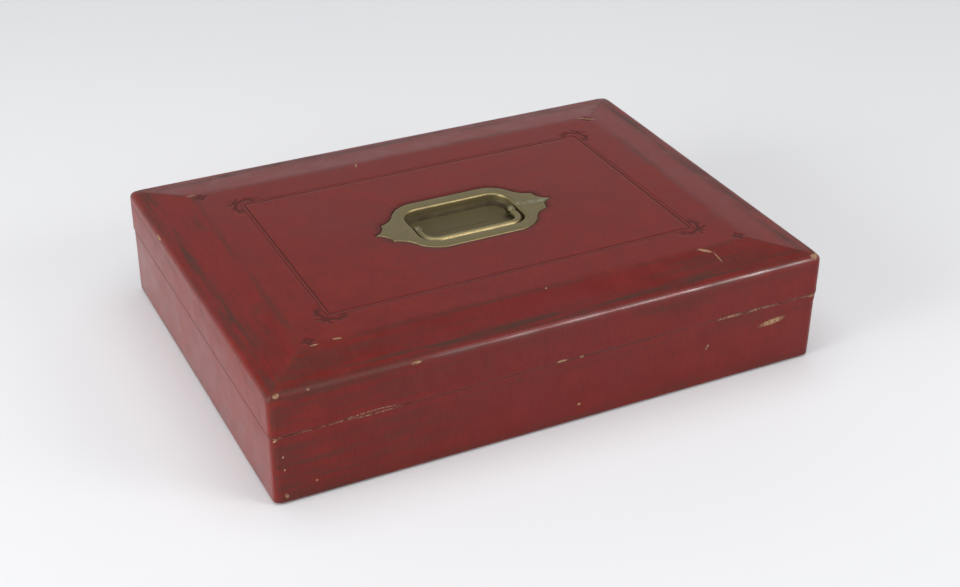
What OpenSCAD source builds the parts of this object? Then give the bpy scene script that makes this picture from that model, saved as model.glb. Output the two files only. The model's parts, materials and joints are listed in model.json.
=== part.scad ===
// Leather-covered jewellery case with a bevelled lid, a sunk brass handle,
// a lift-out ring tray and a box lock.
// Millimetres. Origin: centre of the underside. +Z up, the lock side faces -Y,
// the hinges are on the +Y side, and +X is to the right seen from the lock side.

/* [Case] */
// Length of the lid, left to right
case_w = 330; // [320:2:344]
// Depth of the lid, front to back
case_d = 244; // [240:2:256]
// Height of the joint between base and lid
joint_z = 42; // [42:0.5:46]
// Gap between the base and the closed lid
joint_gap = 0.3; // [0.2:0.1:0.4]
// How far the lid stands out past the base on each side
lid_proud = 0.5; // [0.3:0.1:0.6]
// Radius of the upright corners
corner_r = 4; // [3.5:0.5:5]
// Thickness of the wooden walls
wall_t = 8; // [8:0.1:8.4]
// Thickness of the outer leather
leather_t = 1; // [0.9:0.05:1.1]
// Thickness of the underside cover
underside_t = 0.8; // [0.6:0.1:1]
// Thickness of the base's bottom board
bottom_t = 5; // [4:0.5:5]

/* [Lid] */
// Height of the lid's outer top edge above the underside
edge_z = 66.5; // [66:0.5:69]
// Rise of the flat middle field above the outer top edge
field_rise = 4; // [3:0.5:5]
// Width of the sloping margin around the field
margin_w = 31; // [24:1:34]
// Rounding of the outer top edge
edge_r = 3; // [2:0.5:3.5]
// Thickness of the top board at its rim, leather not counted
lid_board_t = 8; // [7.5:0.5:8]
// Thickness of the padded panel inside the lid
lid_pad_t = 4; // [3:0.5:4]

/* [Handle] */
// Half the plate's length, to the tip
plate_half = 56; // [54:0.5:58]
// Half the plate's depth
plate_half_d = 28; // [27:0.5:29]
// Thickness of the plate's rim
plate_t = 1.5; // [1.2:0.1:1.8]
// Inner length of the sunk pan
pan_w = 66.6; // [65:0.2:68]
// Inner width of the sunk pan
pan_d = 40; // [39:0.5:41]
// Depth of the sunk pan
pan_depth = 6.5; // [6:0.1:7]
// Diameter of the bail's bar
bail_bar = 4.6; // [4:0.2:4.8]

/* [Hinges] */
// Length of each hinge
hinge_len = 38; // [34:1:42]
// Distance of the hinge centres from the middle of the case
hinge_x = 110; // [100:1:118]
// Radius of the hinge knuckles
knuckle_r = 1.5; // [1.4:0.05:1.5]
// Depth of the hinge axis inside the lid's back face
axis_inset = 3.1; // [3:0.1:3.2]

/* [Lock] */
// Inner width of the lock case
lock_w = 48; // [47:0.5:52]
// Height of the key barrel's axis above the underside
barrel_z = 24; // [24:0.5:25]
// Radius of the key barrel
barrel_r = 5; // [4.8:0.1:5]
// Distance of the drive pin from the barrel's axis
drive_r = 3.9; // [3.8:0.05:3.9]

/* [Tray] */
// Height of the tray's underside
tray_z = 22; // [22:0.1:22.5]
// Height of the tray
tray_h = 18; // [16:0.5:18]
// Depth of the long compartment at the front
front_bay = 50; // [44:1:60]
// Width of the ring compartment
ring_bay = 110; // [100:2:130]
// Distance between ring rolls
roll_pitch = 20.3; // [18:0.1:22]

/* [Hidden] */
$fn = 64;

leather_red = [0.47, 0.13, 0.13];
velvet_red = [0.36, 0.05, 0.09];
wood_brown = [0.55, 0.36, 0.22];
brass_dull = [0.62, 0.54, 0.32];
brass_clean = [0.78, 0.66, 0.36];
silk_cream = [0.86, 0.78, 0.64];

eps = 0.01;
skin = 0.2;             // small fitting gap inside one body

// Case
base_w = case_w - 2 * lid_proud;
base_d = case_d - 2 * lid_proud;
base_top = joint_z - joint_gap / 2;
lid_low = joint_z + joint_gap / 2;
turn_in = 12;           // leather turned under the bottom edge
wood_low = underside_t + leather_t;
floor_z = wood_low + bottom_t;
lining_t = 0.8;
lining_reveal = 0.8;    // base's rim left bare above its lining
floor_pad_t = 2;
well_z = floor_z + floor_pad_t;

// Lid
slope = atan(field_rise / margin_w);
field_z = edge_z + field_rise;
board_low = edge_z - leather_t - lid_board_t;

// Handle
shoulder_r = 18.2;      // rounding of the plate's four shoulders
shoulder_end = [38.6, 17.2];
cusp = [plate_half - 7.3, 9.8];
neck_r = 16.5;          // hollow between shoulder and cusp
tip_r = 10;             // hollow between cusp and tip
plate_gap = 0.4;        // gap in the leather round the plate
pan_r = 11;
pan_wall = 1.2;
pan_floor = 1;
pivot_z = field_z - 2.6;
bail_r = bail_bar / 2;
limb_x = pan_w / 2 - bail_r - 0.8;
bail_y = pan_d / 2 - bail_r - 1.7;
bail_bend = 8.5;
eye_r = 2.6;
eye_t = 3.4;
pin_r = 1.1;
stud_x = plate_half - 13;
stud_r = 1.5;
stud_low = board_low + 0.5;
nut_af = 5.5;
nut_t = 2.2;
nut_pocket_r = 4.5;
nut_pocket_t = 3.4;

// Hinges
hinge_y = case_d / 2 - axis_inset;
knuckles = 5;
knuckle_gap = 0.3;
pitch = hinge_len / knuckles;
leaf_t = 1;
leaf_in = hinge_y - 6.2;
leaf_edge = hinge_y - knuckle_r - 0.35;
hinge_pin_r = 0.75;
pin_play = 0.05;
groove_in = knuckle_r + 0.2;    // apex of the joint groove, inside the hinge axis
screw_xs = [-13, 0, 13];
screw_y = hinge_y - 4.1;

// Lock
lock_y = -(case_d / 2 - 5.75);  // plane in which the bolt slides
lock_wall = 0.6;
lock_half_y = 2.45;             // half the lock's inner depth
lock_low = barrel_z - barrel_r - 1;
selvedge_t = 1.2;
selvedge_half_y = 3.3;
selvedge_half_x = lock_w / 2 + 6;
lid_lining_low = lid_low + selvedge_t + skin;   // clears the link plate and the hinge leaves
link_x = 10;
link_t = 2;
link_half_y = 2.1;
link_hole_y = 1.2;
link_low = 32;
bolt_half_y = 0.9;
bolt_throw = 2 * drive_r * sin(45);
drive_pin_r = 0.8;
play = 0.3;
barrel_front = -(case_d / 2 - 0.1);
escutcheon_r = 9;
plate_screw_x = lock_w / 2 + 3;
link_screw_x = 19;

// Tray
tray_w = base_w - 2 * (leather_t + wall_t + lining_t) - 2.4;
tray_d = base_d - 2 * (leather_t + wall_t + lining_t) - 2.4;
tray_wall = 3;
tray_floor = 2;
tray_in_w = tray_w - 2 * tray_wall;
tray_in_d = tray_d - 2 * tray_wall;
divider_t = 3;
divider_top = tray_z + tray_h - 1.5;
tray_pad_z = tray_z + tray_floor;
tray_pad_t = 3;
bay_front_y = -tray_in_d / 2 + front_bay;
back_bay_y = bay_front_y + divider_t;
back_bay_d = tray_in_d / 2 - back_bay_y;
side_bay_w = (tray_in_w - ring_bay) / 2 - divider_t;
side_bay_d = (back_bay_d - divider_t) / 2;
side_bay_x = ring_bay / 2 + divider_t + side_bay_w / 2;
rolls = 6;
roll_h = 13;
roll_r = roll_pitch / 2 - 0.4;
centre_bay_y = back_bay_y + rolls * roll_pitch + divider_t;
centre_bay_d = tray_in_d / 2 - centre_bay_y;
tab_w = 12;
tab_top = tray_z + tray_h + 3;

// ---------------------------------------------------------------- shapes

module rounded_rect(w, d, r) {
    square([w - 2 * r, d], center = true);
    square([w, d - 2 * r], center = true);
    for (x = [-1, 1], y = [-1, 1])
        translate([x * (w / 2 - r), y * (d / 2 - r)])
            circle(r);
}

module slab(w, d, r, z0, z1) {
    translate([0, 0, z0])
        linear_extrude(z1 - z0)
            rounded_rect(w, d, r);
}

module ring(w, d, r, t, z0, z1) {
    difference() {
        slab(w, d, r, z0, z1);
        slab(w - 2 * t, d - 2 * t, max(r - t, 0.2), z0 - 1, z1 + 1);
    }
}

module block(x0, x1, y0, y1, z0, z1) {
    translate([x0, y0, z0])
        cube([x1 - x0, y1 - y0, z1 - z0]);
}

module rod_x(r, x0, x1, y, z) {
    translate([x0, y, z])
        rotate([0, 90, 0])
            cylinder(r = r, h = x1 - x0);
}

module rod_y(r, y0, y1, x, z) {
    translate([x, y1, z])
        rotate([90, 0, 0])
            cylinder(r = r, h = y1 - y0);
}

module rod_z(r, z0, z1, x, y) {
    translate([x, y, z0])
        cylinder(r = r, h = z1 - z0);
}

// One of the four mitred pieces of a frame: 0 front, 1 right, 2 back, 3 left
module mitre_zone(side, w, d, z0, z1) {
    out = 5;
    in = 20;
    turn = side * 90;
    half_l = (side % 2 == 0 ? w : d) / 2;
    half_s = (side % 2 == 0 ? d : w) / 2;
    translate([0, 0, z0 - 1])
        rotate([0, 0, turn])
            linear_extrude(z1 - z0 + 2)
                polygon([
                    [-half_l - out, -half_s - out], [half_l + out, -half_s - out],
                    [half_l - in, -half_s + in], [-half_l + in, -half_s + in]
                ]);
}

module frame_piece(side, w, d, r, t, z0, z1) {
    intersection() {
        ring(w, d, r, t, z0, z1);
        mitre_zone(side, w, d, z0, z1);
    }
}

// Outline of the lid across one direction, all surfaces moved in by t
function lid_edge(t) = edge_z - t * (1 / cos(slope) - tan(slope));
function arc_points(cx, cz, r, a0, a1, n) =
    [for (i = [0 : n]) [cx + r * cos(a0 + (a1 - a0) * i / n), cz + r * sin(a0 + (a1 - a0) * i / n)]];
function lid_outline(half, t, low) =
    let (
        h = half - t,
        e = lid_edge(t),
        r = edge_r - t,
        top = field_z - t,
        tangent = r / tan(45 + slope / 2),
        inner = h - (top - e) / tan(slope),
        arc = arc_points(h - r, e - tangent, r, 0, 90 - slope, 6)
    )
    concat(
        [[-h, low], [h, low]],
        arc,
        [[inner, top], [-inner, top]],
        [for (i = [len(arc) - 1 : -1 : 0]) [-arc[i][0], arc[i][1]]]
    );

// The lid's outer body with all surfaces moved in by t, from height low upward
module lid_body(t, low) {
    intersection() {
        slab(case_w - 2 * t, case_d - 2 * t, corner_r - t, low, field_z + 1);
        translate([0, case_d / 2, 0])
            rotate([90, 0, 0])
                linear_extrude(case_d)
                    polygon(lid_outline(case_w / 2, t, low));
        translate([-case_w / 2, 0, 0])
            rotate([90, 0, 90])
                linear_extrude(case_w)
                    polygon(lid_outline(case_d / 2, t, low));
    }
}

// Groove along the hinge axis that lets the lid turn back; the spine leather covers it
module joint_groove(inside = groove_in) {
    reach = 8;
    translate([-case_w / 2 - 5, 0, 0])
        rotate([90, 0, 90])
            linear_extrude(case_w + 10)
                polygon([
                    [hinge_y - inside, joint_z],
                    [hinge_y + reach, joint_z + reach + inside],
                    [hinge_y + reach, joint_z - reach - inside]
                ]);
}

module screw_down(x, y, z_head, r_head, t_head, r, l) {
    rod_z(r_head, z_head - t_head, z_head, x, y);
    rod_z(r, z_head - l, z_head - t_head + eps, x, y);
}

module screw_up(x, y, z_head, r_head, t_head, r, l) {
    rod_z(r_head, z_head, z_head + t_head, x, y);
    rod_z(r, z_head + t_head - eps, z_head + l, x, y);
}

// ---------------------------------------------------------------- base

module base_wall(side) {
    frame_piece(side, base_w - 2 * leather_t, base_d - 2 * leather_t,
                corner_r - leather_t, wall_t, wood_low, base_top);
}

module hinge_mortise(low, high) {
    for (side = [-1, 1])
        block(side * hinge_x - hinge_len / 2 - skin / 2, side * hinge_x + hinge_len / 2 + skin / 2,
              leaf_in - skin / 2, case_d / 2 + 5, low, high);
}

module hinge_channel() {
    for (side = [-1, 1])
        rod_x(knuckle_r + 0.35, side * hinge_x - hinge_len / 2 - 0.3,
              side * hinge_x + hinge_len / 2 + 0.3, hinge_y, joint_z);
}

module base_screw_holes() {
    for (side = [-1, 1], dx = screw_xs)
        rod_z(0.85, base_top - 7.2, base_top + 1, side * hinge_x + dx, screw_y);
}

module base_front_board() color(wood_brown)
    difference() {
        base_wall(0);
        block(-lock_w / 2 - lock_wall - 0.1, lock_w / 2 + lock_wall + 0.1,
              lock_y - lock_half_y - lock_wall - 0.1, 0,
              lock_low - lock_wall - 0.1, joint_z + 1);
        block(-selvedge_half_x - 0.1, selvedge_half_x + 0.1,
              lock_y - selvedge_half_y - 0.1, lock_y + selvedge_half_y + 0.1,
              base_top - selvedge_t, joint_z + 1);
        rod_y(barrel_r + 0.3, -case_d, lock_y, 0, barrel_z);
        for (x = [-1, 1])
            rod_z(1.05, base_top - 11, base_top, x * plate_screw_x, lock_y);
    }

module base_back_board() color(wood_brown)
    difference() {
        base_wall(2);
        joint_groove();
        hinge_mortise(base_top - leaf_t, joint_z + 1);
        hinge_channel();
        base_screw_holes();
    }

module base_left_board() color(wood_brown)
    difference() {
        base_wall(3);
        joint_groove();
    }

module base_right_board() color(wood_brown)
    difference() {
        base_wall(1);
        joint_groove();
    }

module base_bottom_board() color(wood_brown)
    slab(base_w - 2 * (leather_t + wall_t), base_d - 2 * (leather_t + wall_t), 0.2,
         wood_low, floor_z);

module base_leather() color(leather_red)
    difference() {
        union() {
            ring(base_w, base_d, corner_r, leather_t, underside_t, base_top);
            ring(base_w - 1, base_d - 1, corner_r - 0.5, turn_in, underside_t, wood_low);
        }
        joint_groove();
        rod_y(escutcheon_r + 0.2, -case_d, -base_d / 2 + leather_t + eps, 0, barrel_z);
    }

module underside_cover() color(leather_red) {
    slab(base_w - 6, base_d - 6, corner_r, 0, underside_t);
    slab(base_w - 2 * turn_in - 1.4, base_d - 2 * turn_in - 1.4, corner_r,
         underside_t - eps, wood_low);
}

module base_lining() color(velvet_red)
    ring(base_w - 2 * (leather_t + wall_t), base_d - 2 * (leather_t + wall_t), 1,
         lining_t, floor_z, base_top - lining_reveal);

module floor_pad() color(velvet_red)
    slab(tray_w + 2, tray_d + 2, 1, floor_z, well_z);

module tray_rests() color(wood_brown)
    for (side = [-1, 1])
        translate([side * (tray_w / 2 - 1.5), 0, 0])
            slab(5, tray_d + 1.6, 0.3, well_z, tray_z - play);

module well_long_divider() color(velvet_red)
    block(-tray_w / 2 + 4.2, tray_w / 2 - 4.2, 8, 8 + divider_t, well_z, tray_z - 0.8);

module well_cross_dividers() color(velvet_red)
    for (x = [-52, 52]) {
        block(x - divider_t / 2, x + divider_t / 2, -tray_d / 2, 8, well_z, tray_z - 0.8);
        block(x - divider_t / 2, x + divider_t / 2, 8 + divider_t, tray_d / 2, well_z,
              tray_z - 0.8);
    }

// ---------------------------------------------------------------- lock

module lock_case() color(brass_clean)
    difference() {
        union() {
            block(-lock_w / 2 - lock_wall, lock_w / 2 + lock_wall,
                  lock_y - lock_half_y - lock_wall, lock_y + lock_half_y + lock_wall,
                  lock_low - lock_wall, base_top - selvedge_t + eps);
            block(-selvedge_half_x, selvedge_half_x,
                  lock_y - selvedge_half_y, lock_y + selvedge_half_y,
                  base_top - selvedge_t, base_top);
        }
        block(-lock_w / 2, lock_w / 2, lock_y - lock_half_y, lock_y + lock_half_y + 2,
              lock_low, base_top - selvedge_t);
        for (x = [-1, 1]) {
            block(x * link_x - link_t / 2 - 0.4, x * link_x + link_t / 2 + 0.4,
                  lock_y - lock_half_y, lock_y + lock_half_y,
                  base_top - selvedge_t - 1, joint_z);
            rod_z(1.05, base_top - 5, joint_z, x * plate_screw_x, lock_y);
            rod_z(2.05, base_top - 0.7, joint_z, x * plate_screw_x, lock_y);
        }
        rod_y(barrel_r + pin_play, -case_d, lock_y, 0, barrel_z);
    }

module lock_cap() color(brass_clean)
    block(-lock_w / 2 + 0.05, lock_w / 2 - 0.05, lock_y + lock_half_y,
          lock_y + lock_half_y + lock_wall, lock_low + 0.05, base_top - selvedge_t - 0.05);

// The barrel's drive pin stands 45 degrees to the left of upright at rest
module lock_barrel() color(brass_clean)
    difference() {
        union() {
            rod_y(barrel_r, barrel_front, lock_y - bolt_half_y - 0.4, 0, barrel_z);
            rod_y(barrel_r + 0.9, lock_y - lock_half_y + 0.2, lock_y - bolt_half_y - 0.4,
                  0, barrel_z);
            rod_y(drive_pin_r, lock_y - bolt_half_y - 0.5, lock_y + bolt_half_y + 0.6,
                  -drive_r * sin(45), barrel_z + drive_r * cos(45));
        }
        difference() {
            rod_y(2.2, barrel_front - 1, barrel_front + 3, 0, barrel_z);
            rod_y(0.8, barrel_front - 2, barrel_front + 4, 0, barrel_z);
        }
    }

module lock_bolt() color(brass_clean) {
    bar_low = barrel_z + 1.2;
    bar_high = barrel_z + drive_r + 1.9;
    finger_low = link_low + 1.6;
    finger_high = finger_low + 3.2;
    tip = -link_t / 2 - 0.5;
    riser = tip - 6.5;
    difference() {
        union() {
            block(-link_x + riser - 3, link_x + riser + 3, lock_y - bolt_half_y,
                  lock_y + bolt_half_y, bar_low, bar_high);
            for (x = [-link_x, link_x]) {
                block(x + riser - 3, x + riser, lock_y - bolt_half_y, lock_y + bolt_half_y,
                      bar_low, finger_high);
                block(x + riser - 1, x + tip, lock_y - bolt_half_y, lock_y + bolt_half_y,
                      finger_low, finger_high);
            }
        }
        block(-bolt_throw / 2 - drive_pin_r - play, -bolt_throw / 2 + drive_pin_r + play,
              lock_y - 2, lock_y + 2, bar_low + 0.45, bar_high - 0.8);
    }
}

module escutcheon() color(brass_dull)
    difference() {
        rod_y(escutcheon_r, barrel_front, -base_d / 2 + leather_t, 0, barrel_z);
        rod_y(barrel_r + pin_play, -case_d, 0, 0, barrel_z);
    }

module lock_screws() color(brass_clean)
    for (x = [-1, 1])
        screw_down(x * plate_screw_x, lock_y, base_top - 0.05, 2, 0.6, 1, 10);

module link_plate() color(brass_clean)
    difference() {
        union() {
            block(-link_screw_x - 4, link_screw_x + 4, lock_y - selvedge_half_y,
                  lock_y + selvedge_half_y, lid_low, lid_low + selvedge_t);
            for (x = [-link_x, link_x])
                block(x - link_t / 2, x + link_t / 2, lock_y - link_half_y,
                      lock_y + link_half_y, link_low, lid_low + eps);
        }
        for (x = [-link_x, link_x])
            block(x - link_t, x + link_t, lock_y - link_hole_y, lock_y + link_hole_y,
                  link_low + 1.2, link_low + 5.2);
        for (x = [-link_screw_x, link_screw_x]) {
            rod_z(1.05, lid_low - 1, lid_low + 3, x, lock_y);
            rod_z(1.85, lid_low - 1, lid_low + 0.65, x, lock_y);
        }
    }

module link_screws() color(brass_clean)
    for (x = [-link_screw_x, link_screw_x])
        screw_up(x, lock_y, lid_low + 0.05, 1.8, 0.6, 1, 8);

// ---------------------------------------------------------------- hinges

// Knuckles numbered 0 to 4 from the left; the base leaf carries the even ones
module knuckle_set(side, first) {
    left = side * hinge_x - hinge_len / 2;
    for (i = [first : 2 : knuckles - 1])
        rod_x(knuckle_r, left + i * pitch + knuckle_gap / 2,
              left + (i + 1) * pitch - knuckle_gap / 2, hinge_y, joint_z);
}

module knuckle_necks(side, first, z0, z1) {
    left = side * hinge_x - hinge_len / 2;
    for (i = [first : 2 : knuckles - 1])
        block(left + i * pitch + knuckle_gap / 2, left + (i + 1) * pitch - knuckle_gap / 2,
              leaf_edge - eps, hinge_y, z0, z1);
}

module leaf(side, first, z0, z1, head_low, head_high) {
    difference() {
        union() {
            block(side * hinge_x - hinge_len / 2, side * hinge_x + hinge_len / 2,
                  leaf_in, leaf_edge, z0, z1);
            knuckle_necks(side, first, z0, z1);
            knuckle_set(side, first);
        }
        rod_x(hinge_pin_r + pin_play, side * hinge_x - hinge_len, side * hinge_x + hinge_len,
              hinge_y, joint_z);
        for (dx = screw_xs) {
            rod_z(0.85, z0 - 1, z1 + 1, side * hinge_x + dx, screw_y);
            rod_z(1.35, head_low, head_high, side * hinge_x + dx, screw_y);
        }
    }
}

module hinge_base_leaf(side) color(brass_clean)
    leaf(side, 0, base_top - leaf_t, base_top, base_top - 0.5, joint_z);

module hinge_lid_leaf(side) color(brass_clean)
    leaf(side, 1, lid_low, lid_low + leaf_t, joint_z, lid_low + 0.5);

module hinge_pins() color(brass_dull)
    for (side = [-1, 1])
        rod_x(hinge_pin_r, side * hinge_x - hinge_len / 2, side * hinge_x + hinge_len / 2,
              hinge_y, joint_z);

module hinge_base_screws() color(brass_clean)
    for (side = [-1, 1], dx = screw_xs)
        screw_down(side * hinge_x + dx, screw_y, base_top - 0.05, 1.3, 0.4, 0.8, 7);

module hinge_lid_screws() color(brass_clean)
    for (side = [-1, 1], dx = screw_xs)
        screw_up(side * hinge_x + dx, screw_y, lid_low + 0.05, 1.3, 0.4, 0.8, 7);

// Flexible strip of leather that bridges the joint along the back
module spine_leather() color(leather_red)
    intersection() {
        union() {
            ring(base_w, base_d, corner_r, leather_t, joint_z - 12, joint_z);
            ring(case_w, case_d, corner_r, leather_t, joint_z - eps, joint_z + 12);
        }
        joint_groove(groove_in - 0.1);
    }

// ---------------------------------------------------------------- tray

module tray_frame() color(velvet_red)
    ring(tray_w, tray_d, 1.5, tray_wall, tray_z, tray_z + tray_h);

module tray_bottom() color(wood_brown)
    slab(tray_in_w, tray_in_d, 0.2, tray_z, tray_pad_z);

module tray_long_divider() color(velvet_red)
    block(-tray_in_w / 2, tray_in_w / 2, bay_front_y, back_bay_y, tray_pad_z, divider_top);

module tray_ring_dividers() color(velvet_red)
    for (side = [-1, 1])
        translate([side * (ring_bay + divider_t) / 2, 0, 0])
            block(-divider_t / 2, divider_t / 2, back_bay_y, tray_in_d / 2, tray_pad_z,
                  divider_top);

module tray_cross_dividers() color(velvet_red) {
    for (side = [-1, 1])
        translate([side * side_bay_x, 0, 0])
            block(-side_bay_w / 2, side_bay_w / 2, back_bay_y + side_bay_d,
                  back_bay_y + side_bay_d + divider_t, tray_pad_z, divider_top);
    block(-ring_bay / 2, ring_bay / 2, centre_bay_y - divider_t, centre_bay_y,
          tray_pad_z, divider_top);
}

module tray_pad_front() color(velvet_red)
    translate([0, bay_front_y - front_bay / 2, 0])
        slab(tray_in_w - 0.6, front_bay - 0.6, 2, tray_pad_z, tray_pad_z + tray_pad_t);

// side: -1 left, 1 right; row: 0 front, 1 back
module side_pad(side, row) color(velvet_red)
    translate([side * side_bay_x, back_bay_y + side_bay_d / 2 + row * (side_bay_d + divider_t), 0])
        slab(side_bay_w - 0.6, side_bay_d - 0.6, 2, tray_pad_z, tray_pad_z + tray_pad_t);

module tray_pad_centre() color(velvet_red)
    translate([0, centre_bay_y + centre_bay_d / 2, 0])
        slab(ring_bay - 0.6, centre_bay_d - 0.6, 2, tray_pad_z, tray_pad_z + tray_pad_t);

// Padded roll, numbered from the front; rings are held in the gaps between rolls
module ring_roll(number) color(velvet_red)
    translate([-ring_bay / 2 + 0.3, back_bay_y + (number - 0.5) * roll_pitch, tray_pad_z])
        intersection() {
            union() {
                translate([0, 0, roll_h - roll_r])
                    rotate([0, 90, 0])
                        cylinder(r = roll_r, h = ring_bay - 0.6);
                translate([0, -roll_r, 0])
                    cube([ring_bay - 0.6, 2 * roll_r, roll_h - roll_r]);
            }
            translate([-1, -roll_r - 1, 0])
                cube([ring_bay + 2, 2 * roll_r + 2, roll_h + 1]);
        }

// Ribbon tab that lifts the tray
module tray_tab(side) color(silk_cream)
    translate([side * (tray_in_w / 2 - 0.7), 0, 0])
        rotate([90, 0, 90])
            linear_extrude(1.2, center = true)
                union() {
                    translate([-tab_w / 2, tray_pad_z + tray_pad_t + 2])
                        square([tab_w, tab_top - tray_pad_z - tray_pad_t - 2 - 4]);
                    translate([-tab_w / 2 + 4, tab_top - 5])
                        square([tab_w - 8, 5]);
                    for (x = [-1, 1])
                        translate([x * (tab_w / 2 - 4), tab_top - 4])
                            circle(4);
                }

// ---------------------------------------------------------------- lid

module lid_rail(side) {
    frame_piece(side, case_w - 2 * leather_t, case_d - 2 * leather_t,
                corner_r - leather_t, wall_t, lid_low, board_low);
}

module lid_screw_holes() {
    for (side = [-1, 1], dx = screw_xs)
        rod_z(0.85, lid_low - 1, lid_low + 7.2, side * hinge_x + dx, screw_y);
}

module lid_front_rail() color(wood_brown)
    difference() {
        lid_rail(0);
        block(-link_screw_x - 4.1, link_screw_x + 4.1, lock_y - selvedge_half_y - 0.1,
              lock_y + selvedge_half_y + 0.1, joint_z - 1, lid_low + selvedge_t);
        for (x = [-link_screw_x, link_screw_x])
            rod_z(1.05, lid_low, lid_low + 8.5, x, lock_y);
    }

module lid_back_rail() color(wood_brown)
    difference() {
        lid_rail(2);
        joint_groove();
        hinge_mortise(joint_z - 1, lid_low + leaf_t);
        hinge_channel();
        lid_screw_holes();
    }

module lid_left_rail() color(wood_brown)
    difference() {
        lid_rail(3);
        joint_groove();
    }

module lid_right_rail() color(wood_brown)
    difference() {
        lid_rail(1);
        joint_groove();
    }

module lid_top_board() color(wood_brown)
    difference() {
        lid_body(leather_t, board_low);
        translate([0, 0, field_z - plate_t])
            linear_extrude(10)
                plate_outline(plate_gap / 2);
        slab(pan_w + 2 * pan_wall + 0.4, pan_d + 2 * pan_wall + 0.4, pan_r + pan_wall + 0.2,
             field_z - pan_depth - pan_floor - 0.2, field_z);
        for (x = [-stud_x, stud_x]) {
            rod_z(stud_r + pin_play, board_low - 1, field_z, x, 0);
            rod_z(nut_pocket_r, board_low - 1, board_low + nut_pocket_t, x, 0);
        }
    }

module lid_leather() color(leather_red)
    difference() {
        lid_body(0, lid_low);
        lid_body(leather_t, lid_low - 1);
        translate([0, 0, field_z - 5])
            linear_extrude(10)
                plate_outline(plate_gap);
        joint_groove();
    }

module lid_lining() color(velvet_red)
    ring(case_w - 2 * (leather_t + wall_t), case_d - 2 * (leather_t + wall_t), 1,
         lining_t, lid_lining_low, board_low);

module lid_pad() color(silk_cream)
    slab(case_w - 2 * (leather_t + wall_t + lining_t) - 0.4,
         case_d - 2 * (leather_t + wall_t + lining_t) - 0.4, 3,
         board_low - lid_pad_t, board_low);

// ---------------------------------------------------------------- handle

// Centre of the arc of radius r from p to q that bends inward
function arc_centre(p, q, r) =
    let (
        mid = (p + q) / 2,
        half = norm(q - p) / 2,
        n = [q[1] - p[1], p[0] - q[0]] / norm(q - p)
    )
    mid - n * sqrt(r * r - half * half);

// Brass plate seen from above: rounded shoulders, a cusp and a pointed tip at each end.
// grow makes the outline larger all round.
module plate_outline(grow = 0) {
    neck = arc_centre(shoulder_end, cusp, neck_r);
    hollow = arc_centre(cusp, [plate_half, 0], tip_r);
    rounded_rect(2 * (22 + shoulder_r + grow), 2 * (plate_half_d + grow), shoulder_r + grow);
    for (side = [0, 1])
        mirror([side, 0])
            difference() {
                polygon([
                    [20, -shoulder_end[1] - grow], [shoulder_end[0], -shoulder_end[1] - grow],
                    [cusp[0] + grow, -cusp[1] - grow], [plate_half + 2 * grow, 0],
                    [cusp[0] + grow, cusp[1] + grow], [shoulder_end[0], shoulder_end[1] + grow],
                    [20, shoulder_end[1] + grow]
                ]);
                for (flip = [-1, 1]) {
                    translate([neck[0], flip * neck[1]])
                        circle(neck_r - grow);
                    translate([hollow[0], flip * hollow[1]])
                        circle(tip_r - grow);
                }
            }
}

module handle_plate() color(brass_dull)
    difference() {
        union() {
            translate([0, 0, field_z - plate_t])
                linear_extrude(plate_t)
                    plate_outline();
            slab(pan_w + 2 * pan_wall, pan_d + 2 * pan_wall, pan_r + pan_wall,
                 field_z - pan_depth - pan_floor, field_z - eps);
        }
        slab(pan_w, pan_d, pan_r, field_z - pan_depth, field_z + 1);
        rod_x(pin_r + 0.02, -pan_w, pan_w, 0, pivot_z);
    }

module handle_studs() color(brass_clean)
    for (x = [-stud_x, stud_x])
        rod_z(stud_r, stud_low, field_z - plate_t, x, 0);

module handle_nuts() color(brass_clean)
    for (x = [-stud_x, stud_x])
        translate([x, 0, board_low + nut_pocket_t - nut_t - 0.6])
            difference() {
                union() {
                    cylinder(d = nut_af / cos(30), h = nut_t, $fn = 6);
                    translate([0, 0, nut_t - eps])
                        cylinder(r = 4, h = 0.6 + eps);
                }
                translate([0, 0, -1])
                    cylinder(r = stud_r + pin_play, h = nut_t + 3);
            }

// Rivets through the pan's end walls, on which the bail turns
module bail_pins() color(brass_clean)
    for (side = [0, 1])
        mirror([side, 0, 0]) {
            rod_x(pin_r, limb_x - eye_t / 2 - 0.6, pan_w / 2 + pan_wall, 0, pivot_z);
            rod_x(1.8, limb_x - eye_t / 2 - 1, limb_x - eye_t / 2 - 0.2, 0, pivot_z);
        }

module handle_bail() color(brass_dull)
    difference() {
        union() {
            rod_x(bail_r, -limb_x + bail_bend, limb_x - bail_bend, bail_y, pivot_z);
            for (side = [0, 1])
                mirror([side, 0, 0]) {
                    translate([limb_x - bail_bend, bail_y - bail_bend, pivot_z])
                        rotate_extrude(angle = 90)
                            translate([bail_bend, 0])
                                circle(bail_r, $fn = 48);
                    rod_y(bail_r, 2, bail_y - bail_bend, limb_x, pivot_z);
                    rod_x(eye_r, limb_x - eye_t / 2, limb_x + eye_t / 2, 0, pivot_z);
                }
        }
        rod_x(pin_r + pin_play, -limb_x - 5, limb_x + 5, 0, pivot_z);
    }

// ---------------------------------------------------------------- nodes

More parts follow.
